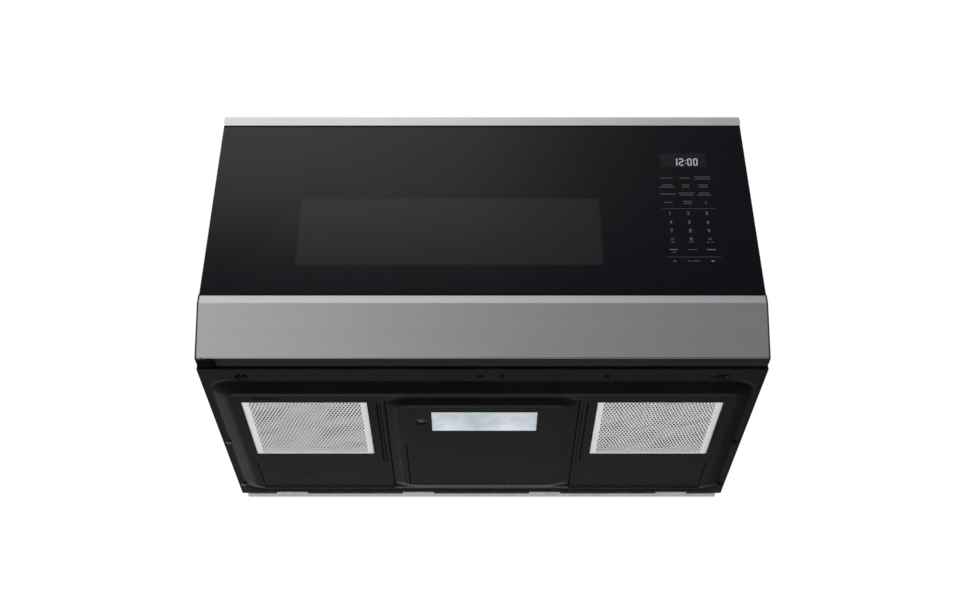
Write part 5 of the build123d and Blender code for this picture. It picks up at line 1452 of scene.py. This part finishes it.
@dataclass
class Door:
    """Door with its glass, steel band, moulded foot and perforated screen."""

    frame: Frame
    face: float = -222.5
    sheet: float = 1.0
    glass_setback: float = 0.1
    seal_heights: Point = (1.6, 1.5)
    seal_depth: float = 0.3
    band_top: float = 98.5
    band_knee: float = 84.6
    band_foot: float = 17.3
    band_lean: float = 28.0
    band_hem: float = 0.5
    band_return: float = 3.5
    band_radii: Point3 = (0.8, 3.0, 0.9)
    band_steps: int = 6
    band_shade: float = 50.0
    lip_setback: float = 1.1
    foot_setback: float = 1.8
    foot_level: float = 12.5
    foot_chamfer: Point = (1.2, 1.0)
    foot_overlaps: Point = (0.3, 1.0)
    hinge_gap: float = 3.0
    screen_pitch: float = 3.2
    screen_hole: float = 1.05
    screen_margin: float = 9.0

    def band(self) -> None:
        """Steel band, folded round its lip, knee and hem with small bend radii."""
        face, slant = self.face, self.face + self.band_lean
        corners = [
            (face + self.band_return, self.band_top),
            (face + self.lip_setback, self.band_top),
            (face, self.band_knee),
            (slant, self.band_foot),
            (slant + self.band_hem, self.band_foot),
        ]
        outline = thickened(rounded_path(corners, self.band_radii, self.band_steps), self.sheet)
        x = self.frame.span("door_band")[0]
        steel = self.frame.finishes["stainless"]
        piece = drawn_along_x("door_band_folded", outline, x, steel, self.band_shade)
        self.frame.put(piece, "door", Slot.STEEL, ["door_band"])

    def foot(self) -> None:
        """Moulded foot of the door behind the band's hem, which slopes down to the pan."""
        front = self.face + self.band_lean + self.foot_setback
        back = self.frame.span("door_frame")[1][1]
        low, top = self.foot_level, self.band_foot
        run, rise = self.foot_chamfer
        over, under = self.foot_overlaps
        section = [(front, top + over), (back - run, low), (back, low + rise)]
        section += [(back, top), (front + under, top + under)]
        x = (self.frame.span("lower_hinge")[0][1] + self.hinge_gap, self.frame.span("door_band")[0][1])
        piece = drawn_along_x("door_foot_moulded", section, x, self.frame.finishes["plastic"])
        self.frame.put(piece, "door", Slot.PLASTIC)

    def seals(self) -> None:
        """Black seal lines along the glass's lower and upper edges."""
        x, _, (bottom, top) = self.frame.span("door_glass")
        front, back = self.face, self.face + self.seal_depth
        dull = self.frame.finishes["dull"]
        lines = []
        for low, high in ((bottom, bottom + self.seal_heights[0]), (top - self.seal_heights[1], top)):
            section = [(front, low), (front, high), (back, high), (back, low)]
            lines.append(drawn_along_x("seal", section, x, dull))
        self.frame.put(joined("glass_seals", lines, dull), "door", Slot.PLASTIC)

    def screen(self) -> None:
        """Perforated sheet behind the window, one hole to each tile."""
        x, y, z = self.frame.span("door_screen")
        pitch = self.screen_pitch
        across, up = (int((high - low - 2 * self.screen_margin) / pitch) for low, high in (x, z))
        sizes = {"Pitch": pitch * MM, "Hole": self.screen_hole * MM, "Across": across, "Up": up}
        tree = Tree("perforated_sheet", sizes)
        square = {"Width": tree.size("Pitch"), "Height": tree.size("Pitch")}
        tile = tree.add("GeometryNodeCurvePrimitiveQuadrilateral", square)
        hole = tree.add("GeometryNodeCurvePrimitiveCircle", {"Resolution": 6, "Radius": tree.size("Hole")})
        flat = tree.add("GeometryNodeFillCurve", {"Curve": tree.together([tile, hole])})
        upright = (pi / 2, 0, 0)
        grid = tree.moved(tree.grid(("Pitch", "Pitch"), ("Across", "Up")), ORIGIN, upright)
        tiles = tree.copies(grid, tree.moved(flat, ORIGIN, upright))
        placed = tree.moved(tiles, tuple((low + high) / 2 * MM for low, high in (x, y, z)))
        black = self.frame.finishes["screen"]
        piece = tree.made("screen_perforated", placed, black)
        border = self.border((x, z), (across * pitch, up * pitch), (y[0] + y[1]) / 2)
        whole = joined("door_screen_perforated", [piece, border], black)
        self.frame.put(whole, "door", Slot.ZINC, ["door_screen"])

    def border(self, spans: tuple[Point, Point], field_size: Point, y: float) -> Object:
        """Plain edge of the screen round its field of holes.

        Args:
            spans: Span of the screen along X and along Z.
            field_size: Width and height of the field.
            y: Depth of the screen.

        Returns:
            The edge.
        """
        corners = ((-1, -1), (1, -1), (1, 1), (-1, 1))
        middle = [(low + high) / 2 for low, high in spans]
        points = []
        for size in ([high - low for low, high in spans], field_size):
            points += [(middle[0] + a * size[0] / 2, y, middle[1] + b * size[1] / 2) for a, b in corners]
        faces = [(i, (i + 1) % 4, 4 + (i + 1) % 4, 4 + i) for i in range(4)]
        return from_lists("border", points, faces, self.frame.finishes["screen"], False)

    def build(self) -> None:
        """Make and dress the door."""
        frame = self.frame
        frame.soften("door_glass", "glass", 0.25, Slot.GLASS, (0, self.glass_setback, 0))
        panel = KeyPanel(frame, self.face)
        panel.keys()
        panel.clock()
        self.seals()
        self.band()
        self.foot()
        self.screen()
        for node, radius in (("door_end_caps", 0.35), ("door_back_cover", 0.6), ("choke_cover", 0.5)):
            frame.soften(node, "plastic", radius, Slot.PLASTIC)
        frame.dress("plastic", "door_frame", "door_bushings")
        frame.dress("paint_inner", "door_panel")
        frame.dress("film", "inner_window")
        frame.dress("board", "control_board")
        frame.dress("plastic_gloss", "display_module", "latch_key")
        frame.dress("plated", "latch_spring")


# ---------------------------------------------------------------- base
@dataclass
class Press:
    """One pressed step, bead or ring of the base pan.

    It has the outline of a rounded rectangle. Its slope runs inwards over a length and drops by
    a depth. A low flank makes the slopes of its two sides gentler.
    """

    spans: tuple[Point, Point]
    corner: float
    run: float
    depth: float
    soft: float = 2.2
    flank: float = 1.0
    reach: float = 4.0

    def grown(self, by: float, corner: float, run: float, depth: float, soft: float) -> "Press":
        """Press round or inside this one, larger by that much on each side."""
        return Press(tuple((low - by, high + by) for low, high in self.spans), corner, run, depth, soft)

    def inside(self, x: float, y: float) -> float:
        """Distance from a point to the outline, positive inside.

        Args:
            x: Place of the point across the pan.
            y: Place of the point along the pan.

        Returns:
            The distance.
        """
        (x0, x1), (y0, y1) = self.spans
        wide = self.flank
        qx = abs(x * wide - (x0 * wide + x1 * wide) / 2) - (x1 * wide - x0 * wide) / 2 + self.corner
        qy = abs(y - (y0 + y1) / 2) - (y1 - y0) / 2 + self.corner
        return self.corner - hypot(max(qx, 0.0), max(qy, 0.0)) - min(max(qx, qy), 0.0)

    def area(self, distance: float) -> float:
        """Integral of the plain slope, which runs from 0 to 1.

        Args:
            distance: Way in from the slope's upper edge.

        Returns:
            The integral.
        """
        if distance <= 0:
            return 0.0
        return distance * distance / (2 * self.run) if distance < self.run else distance - self.run / 2

    def drop(self, x: float, y: float) -> float:
        """How far the sheet is pressed down at a point, with both bends of the slope rounded.

        Args:
            x: Place of the point across the pan.
            y: Place of the point along the pan.

        Returns:
            The drop.
        """
        for at, (low, high) in zip((x, y), self.spans):
            if at < low - self.reach or at > high + self.reach:
                return 0.0
        distance = self.inside(x, y)
        share = (self.area(distance + self.soft) - self.area(distance - self.soft)) / (2 * self.soft)
        return self.depth * share


@dataclass(frozen=True)
class MeshLayer:
    """One layer of expanded mesh: its place, its slow waves and how wide its strands are."""

    lift: float
    shift: Point
    turn: float
    phase: float
    share: float


MESH_LAYERS = (MeshLayer(0.0, (0, 0), 0.0, 0.4, 1.0), MeshLayer(2.8, (1.2, 2.8), 0.04, 2.9, 0.5))


@dataclass
class Base:
    """Pressed base pan with its screws, filters and cooktop lamp."""

    frame: Frame
    rim: float = 10.0
    step: float = 2.6
    fine: float = 0.7
    sheet: float = 1.0
    main_panel: tuple[Point, Point] = ((-368.0, 368.0), (-141.4, 194.5))
    centre_panel: tuple[Point, Point] = ((-134.0, 134.0), (-108.9, 174.0))
    centre_bead: tuple[Point, Point] = ((-140.0, 140.0), (-115.0, 180.0))
    screw_dimple: tuple[Point, Point] = ((-92.0, -80.0), (-52.4, -40.4))
    side_grooves: tuple[tuple[float, Point, float], ...] = (
        (141.0, (-95.0, 84.0), 2.6), (146.2, (-95.0, 84.0), 2.6),
        (134.9, (-104.0, 176.0), 1.7), (337.0, (86.0, 168.0), 1.3),
    )
    single_grooves: tuple[tuple[Point, Point, float], ...] = (
        ((-110.0, -110.0), (22.0, 160.0), 1.3),
        ((-313.0, -278.5), (-107.6, -107.6), 2.6),
        ((306.0, 314.0), (-156.5, -156.5), 3.2),
    )
    groove_depth: float = -1.7
    groove_slope: Point = (0.8, 0.35)
    rings: tuple[Point3, ...] = ((-322.0, -156.0, 8.8), (325.0, -157.5, 7.0))
    ring_width: float = 4.6
    ring_height: float = 3.5
    ring_slope: Point = (1.5, 0.6)
    filter_middle: float = 246.0
    filter_half: float = 86.5
    filter_y: Point = (-95.9, 62.1)
    lamp_opening: tuple[Point, Point] = ((-71.0, 77.0), (-74.4, -18.4))
    fine_x: tuple[Point, ...] = (
        (-149.0, -133.0), (133.0, 149.0), (-333.0, -311.0), (303.0, 334.0), (-338.5, -335.5),
        (335.5, 338.5), (-111.5, -108.5), (-124.5, -119.5), (119.5, 124.5),
    )
    fine_y: tuple[Point, ...] = (
        (-167.0, -145.0), (-126.0, -118.0), (-110.5, -104.5), (-100.0, -93.0), (174.5, 180.0),
    )
    seam_x: Point = (136.0, 339.0)
    seam_y: Point = (174.2, 177.8)
    seam_at: float = 174.5
    seam_lift: Point = (0.15, 0.3)
    cell: Point = (4.9, 11.2)
    strand: float = 1.45
    strand_thickness: float = 0.4
    strand_tilt: float = 12.0
    mesh_drop: float = 2.35
    wave: float = 0.9
    wave_lengths: tuple[Point, Point] = ((0.083, 0.21), (0.19, 0.064))
    wave_lag: float = 1.3
    head: float = 4.2
    tall: float = 2.0
    head_sides: int = 28
    cap_share: float = 0.45
    dome_share: float = 0.5
    dome_top: float = 0.72
    recess: Point3 = (4.4, 1.0, 2.4)
    recess_lift: float = 0.6
    front_screws: tuple[float, ...] = (-323.0, -2.6, 25.5, 167.0, 317.0)
    front_screw_y: float = -155.9
    side_screws: Point = (35.6, 179.6)
    side_screw_x: float = 372.5
    back_screws: tuple[float, ...] = (-300.0, -100.0, 100.0, 300.0)
    back_screw_yz: Point = (211.5, 406.5)
    lens_screw: Point3 = (-86.0, -46.4, 2.5)
    presses: list[Press] = field(default_factory=list)
    openings: list[tuple[Point, Point]] = field(default_factory=list)

    def lay_out(self) -> None:
        """Pressings and openings of the pan."""
        main = Press(self.main_panel, 27.5, 17.5, 6.0, 2.6)
        centre = Press(self.centre_panel, 20.5, 10.5, 4.1, 2.0, 0.5)
        self.presses = [
            main.grown(8.0, 35.5, 8.0, -1.5, 1.6),
            main.grown(1.0, 28.5, 3.0, 1.5, 1.2),
            main,
            main.grown(-17.5, 10.0, 3.0, 0.35, 1.4),
            main.grown(-21.5, 8.0, 4.0, -0.5, 1.4),
            Press(self.centre_bead, 26.0, 5.0, -0.4, 1.6),
            centre,
            centre.grown(-11.0, 10.0, 3.0, 0.4, 1.2),
            centre.grown(-15.0, 8.0, 4.0, -0.4, 1.4),
            Press(self.screw_dimple, 6.0, 1.6, -2.5, 0.7),
        ]
        for side in (-1, 1):
            for x, y, width in self.side_grooves:
                self.groove((side * x, side * x), y, width)
            middle = side * self.filter_middle
            self.openings.append(((middle - self.filter_half, middle + self.filter_half), self.filter_y))
        for x, y, width in self.single_grooves:
            self.groove(x, y, width)
        for x, y, radius in self.rings:
            for size, drop in ((radius, -self.ring_height), (radius - self.ring_width, self.ring_height)):
                spans = ((x - size, x + size), (y - size, y + size))
                run, soft = self.ring_slope
                self.presses.append(Press(spans, size, run, drop, soft))
        self.openings.append(self.lamp_opening)

    def groove(self, x: Point, y: Point, width: float) -> None:
        """Narrow groove along a straight line.

        Args:
            x: Its ends across the pan.
            y: Its ends along the pan.
            width: Its width.
        """
        half = width / 2
        spans = tuple((low - half, high + half) for low, high in (x, y))
        run, soft = (half * share for share in self.groove_slope)
        self.presses.append(Press(spans, half, run, self.groove_depth, soft))

    def height(self, x: float, y: float) -> float:
        """Height of the pan's underside."""
        return self.rim - sum(press.drop(x, y) for press in self.presses)

    def lines(self, axis: int, span: Point, close: Sequence[Point]) -> list[float]:
        """Grid lines over a span.

        Args:
            axis: 0 across the pan, 1 along it.
            span: Ends of the grid.
            close: Zones with fine steps.

        Returns:
            The places of the lines, from low to high, with one at each edge of an opening.
        """
        edges = [edge for zone in close for edge in zone]
        edges += [edge for opening in self.openings for edge in opening[axis]]
        marks = [mark for mark in sorted({*span, *edges}) if span[0] <= mark <= span[1]]
        result: list[float] = []
        for low, high in zip(marks, marks[1:]):
            fine = any(a <= (low + high) / 2 <= b for a, b in close)
            count = max(1, round((high - low) / (self.fine if fine else self.step)))
            result += [low + (high - low) * i / count for i in range(count)]
        return result + [marks[-1]]

    def pan(self) -> None:
        """Pan drawn as a sheet of small faces, with rounded bends and cut openings."""
        span_x, span_y = self.frame.span("base_pan")[:2]
        xs = self.lines(0, span_x, self.fine_x)
        ys = self.lines(1, span_y, self.fine_y)
        count = len(xs)
        points = [(x, y, self.height(x, y)) for y in ys for x in xs]
        faces = []
        for j in range(len(ys) - 1):
            for i in range(count - 1):
                middle = ((xs[i] + xs[i + 1]) / 2, (ys[j] + ys[j + 1]) / 2)
                if any(all(s[0] < m < s[1] for m, s in zip(middle, opening)) for opening in self.openings):
                    continue
                start = j * count + i
                faces.append((start, start + count, start + count + 1, start + 1))
        paint = self.frame.finishes["paint"]
        piece = from_lists("base_pan_pressed", points, faces, paint, False)
        self.turn_up(piece)
        self.frame.put(piece, "case", Slot.PAINT, ["base_pan"])

    def turn_up(self, piece: Object, angle: float = 40.0) -> None:
        """Turn every open edge of the pan up by the sheet's thickness.

        Args:
            piece: The pan.
            angle: Sharp edges above this angle, in degrees.
        """
        form = bmesh.new()
        form.from_mesh(piece.data)
        loose = [vert for vert in form.verts if not vert.link_faces]
        bmesh.ops.delete(form, geom=loose, context="VERTS")
        edges = [edge for edge in form.edges if edge.is_boundary]
        for item in bmesh.ops.extrude_edge_only(form, edges=edges)["geom"]:
            if isinstance(item, bmesh.types.BMVert):
                item.co.z += self.sheet * MM
        form.to_mesh(piece.data)
        form.free()
        smooth(piece.data, angle)

    def seams(self) -> None:
        """Dark joints between the pan's rear rail and its two main panels."""
        dull = self.frame.finishes["dull"]
        inner, outer = self.seam_x
        front, back = self.seam_y
        joints = []
        for x in ((-outer, -inner), (inner, outer)):
            low = self.height(sum(x) / 2, self.seam_at) - self.seam_lift[0]
            high = low + self.seam_lift[1]
            section = [(front, low), (back, low), (back, high), (front, high)]
            joints.append(drawn_along_x("joint", section, x, dull))
        self.frame.put(joined("rear_rail_joints", joints, dull), "case", Slot.PAINT)

    def waved(self, tree: Tree, layer: NodeSocket, phase: float) -> NodeSocket:
        """Layer pulled slightly aside in slow waves.

        Args:
            tree: Tree of the mesh.
            layer: The layer.
            phase: Where its waves start.

        Returns:
            The layer's last socket.
        """
        place = add_node(tree.tree, "ShaderNodeSeparateXYZ", {}, {0: tree.add("GeometryNodeInputPosition")})
        waves = []
        for (along, across), start in zip(self.wave_lengths, (phase, phase + self.wave_lag)):
            angle = tree.maths("MULTIPLY_ADD", place.outputs["Y"], 2 * pi / along, start)
            angle = tree.maths("MULTIPLY_ADD", place.outputs["X"], 2 * pi / across, angle)
            waves.append(tree.maths("MULTIPLY", tree.maths("SINE", angle), self.wave * MM))
        shift = tree.vector(waves[0], waves[1], 0.0)
        return tree.add("GeometryNodeSetPosition", {"Geometry": tree.realized(layer), "Offset": shift})

    def layer(self, tree: Tree, layer: MeshLayer) -> NodeSocket:
        """One layer of crossed strands, one cross to each cell.

        Args:
            tree: Tree of the mesh.
            layer: What sets the layer apart.

        Returns:
            The layer's last socket.
        """
        angle = atan2(self.cell[1], self.cell[0])
        length = tree.maths("MULTIPLY", tree.size("Cell X"), 1 / cos(angle))
        width = tree.maths("MULTIPLY", tree.size("Strand"), layer.share)
        strand = tree.cube(tree.vector(length, width, self.strand_thickness * MM))
        tilt = radians(self.strand_tilt)
        cross = tree.together([tree.moved(strand, ORIGIN, (tilt, 0, way * angle)) for way in (-1, 1)])
        copies = tree.copies(tree.grid(("Cell X", "Cell Y"), ("Across", "Along")), cross)
        place = tuple(c * MM for c in (*layer.shift, layer.lift))
        return self.waved(tree, tree.moved(copies, place, (0, 0, layer.turn)), layer.phase)

    def filter_meshes(self) -> None:
        """Layers of expanded aluminium mesh in both filters."""
        for side in ("left", "right"):
            node = f"filter_mesh_{side}"
            x, y, z = self.frame.span(node)
            tree = Tree(f"expanded_mesh_{side}", {
                "Cell X": self.cell[0] * MM,
                "Cell Y": self.cell[1] * MM,
                "Strand": self.strand * MM,
                "Across": ceil((x[1] - x[0]) / self.cell[0]) + 1,
                "Along": ceil((y[1] - y[0]) / self.cell[1]) + 1,
            })
            layers = tree.together([self.layer(tree, layer) for layer in MESH_LAYERS])
            centre = ((x[0] + x[1]) / 2, (y[0] + y[1]) / 2, z[0] - self.mesh_drop)
            whole = tree.moved(layers, tuple(c * MM for c in centre))
            piece = tree.made(f"{node}_layers", whole, self.frame.finishes["mesh"])
            self.frame.put(piece, f"filter_{side}", Slot.ALUMINIUM, [node])
            self.frame.soften(f"filter_frame_{side}", "filter_bar", 0.5, Slot.ALUMINIUM)

    def screw_set(self, name: str, places: Sequence[Point3], turn: Point3) -> Object:
        """Pan-head screws with cross recesses.

        Args:
            name: Name of the set.
            places: Where each one sits.
            turn: How all are turned.

        Returns:
            The screws as one object.
        """
        tree = Tree(f"screws_{name}", {"Head radius": self.head * MM, "Head height": self.tall * MM})
        radius, height = tree.size("Head radius"), tree.size("Head height")
        cap = tree.add("GeometryNodeMeshCylinder", {
            "Vertices": self.head_sides,
            "Radius": radius,
            "Depth": tree.maths("MULTIPLY", height, self.cap_share),
        })
        dome = tree.add("GeometryNodeMeshCone", {
            "Vertices": self.head_sides,
            "Radius Top": tree.maths("MULTIPLY", radius, self.dome_top),
            "Radius Bottom": radius,
            "Depth": tree.maths("MULTIPLY", height, self.dome_share),
        })
        tall = self.tall * MM
        lifted = [tree.moved(cap, (0, 0, tall * self.cap_share / 2))]
        body = tree.together([*lifted, tree.moved(dome, (0, 0, tall * self.cap_share))])
        long, wide, deep = (c * MM for c in self.recess)
        bars = [
            tree.moved(tree.cube(size), (0, 0, tall + self.recess_lift * MM))
            for size in ((long, wide, deep), (wide, long, deep))
        ]
        inputs = {0: body, 1: tree.together(bars)}
        cut = tree.add("GeometryNodeMeshBoolean", inputs, {"operation": "DIFFERENCE"})
        result = tree.copies(tree.source.outputs["Geometry"], tree.moved(cut, ORIGIN, turn))
        return tree.made(f"screws_{name}", result, self.frame.finishes["screw"], places)

    def screws(self) -> None:
        """Screws of the base and the back, and three that the photograph shows paler."""
        finishes = self.frame.finishes
        down, inward = (pi, 0, 0), (-pi / 2, 0, 0)
        base = [(x, self.front_screw_y, self.rim) for x in self.front_screws]
        base += [(self.side_screw_x, y, self.rim) for y in self.side_screws]
        back = [(x, *self.back_screw_yz) for x in self.back_screws]
        pale = [(-self.side_screw_x, y, self.rim) for y in self.side_screws] + [self.lens_screw]
        dark = [self.screw_set("base", base, down), self.screw_set("back", back, inward)]
        piece = joined("case_screws_headed", dark, finishes["screw"])
        self.frame.put(piece, "case", Slot.SCREW, ["case_screws"])
        piece = joined("pale_screws_headed", [self.screw_set("pale", pale, down)], finishes["plated"])
        self.frame.put(piece, "case", Slot.SCREW)

    def build(self) -> None:
        """Make and dress the base."""
        self.lay_out()
        self.pan()
        self.seams()
        self.filter_meshes()
        self.screws()
        self.frame.dress("lens", "lamp_lens")
        self.frame.dress("zinc", "lamp_housing")
        self.frame.dress("board", "lamp_board")


# ---------------------------------------------------------------- case and works
@dataclass
class Case:
    """Outer case, hinges and what hangs it on the wall."""

    frame: Frame

    def build(self) -> None:
        """Make and dress the case."""
        frame = self.frame
        # the top trim takes the lighter copy of the stainless: painted highlight
        frame.soften("top_trim", "trim", 0.5, Slot.STEEL, steps=3)
        frame.soften("vent_grille", "plastic", 0.4, Slot.PLASTIC)
        frame.soften("lower_hinge", "dull", 0.5, Slot.PAINT)
        frame.soften("upper_hinge", "paint", 0.5, Slot.PAINT)
        frame.soften("mounting_plate", "pale_zinc", 0.3, Slot.ZINC)
        frame.dress("paint", "side_panels", "top_panel", "back_panel", "front_frame")
        # the chassis shelf takes the darkened zinc copy: painted shade
        frame.dress("shade_painted_zinc", "chassis_shelf")
        frame.dress("charcoal", "charcoal_filter")
        frame.dress("rubber", "cord_bushing")


@dataclass
class Works:
    """Oven, turntable, microwave system and fans."""

    frame: Frame

    def build(self) -> None:
        """Dress the inner solids."""
        frame = self.frame
        frame.dress("enamel", "cavity_shell")
        frame.dress("zinc", "cavity_lamp", "waveguide", "turntable_motor", "cooling_fan_motor")
        frame.dress("zinc", "blower_motor", "blower_rotor")
        frame.dress("mica", "waveguide_cover")
        frame.dress("fins", "magnetron")
        frame.dress("core", "transformer_core")
        frame.dress("winding", "transformer_coils")
        frame.dress("aluminium", "hv_capacitor")
        frame.dress("board", "power_board")
        frame.dress("plastic", "cooling_fan_housing", "blower_housing", "latch_body", "cooling_fan_wheel")
        frame.dress("white_plastic", "interlock_switches", "switch_plungers", "turntable_coupler")
        frame.dress("white_plastic", "roller_ring", *(f"roller_wheel_{index}" for index in (1, 2, 3)))
        frame.dress("clear", "turntable_tray")


def main() -> None:
    """Load the frame and build every part of the scene."""
    logging.basicConfig(level=logging.INFO, format="%(name)s %(message)s")
    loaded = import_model()
    bodies = {node: body for body, nodes in loaded["record"]["behaviour"]["bodies"].items() for node in nodes}
    frame = Frame(loaded["nodes"], bodies)
    Studio().build()
    for assembly in (Door(frame), Base(frame), Case(frame), Works(frame)):
        assembly.build()
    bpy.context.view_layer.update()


if __name__ == "__main__":
    main()
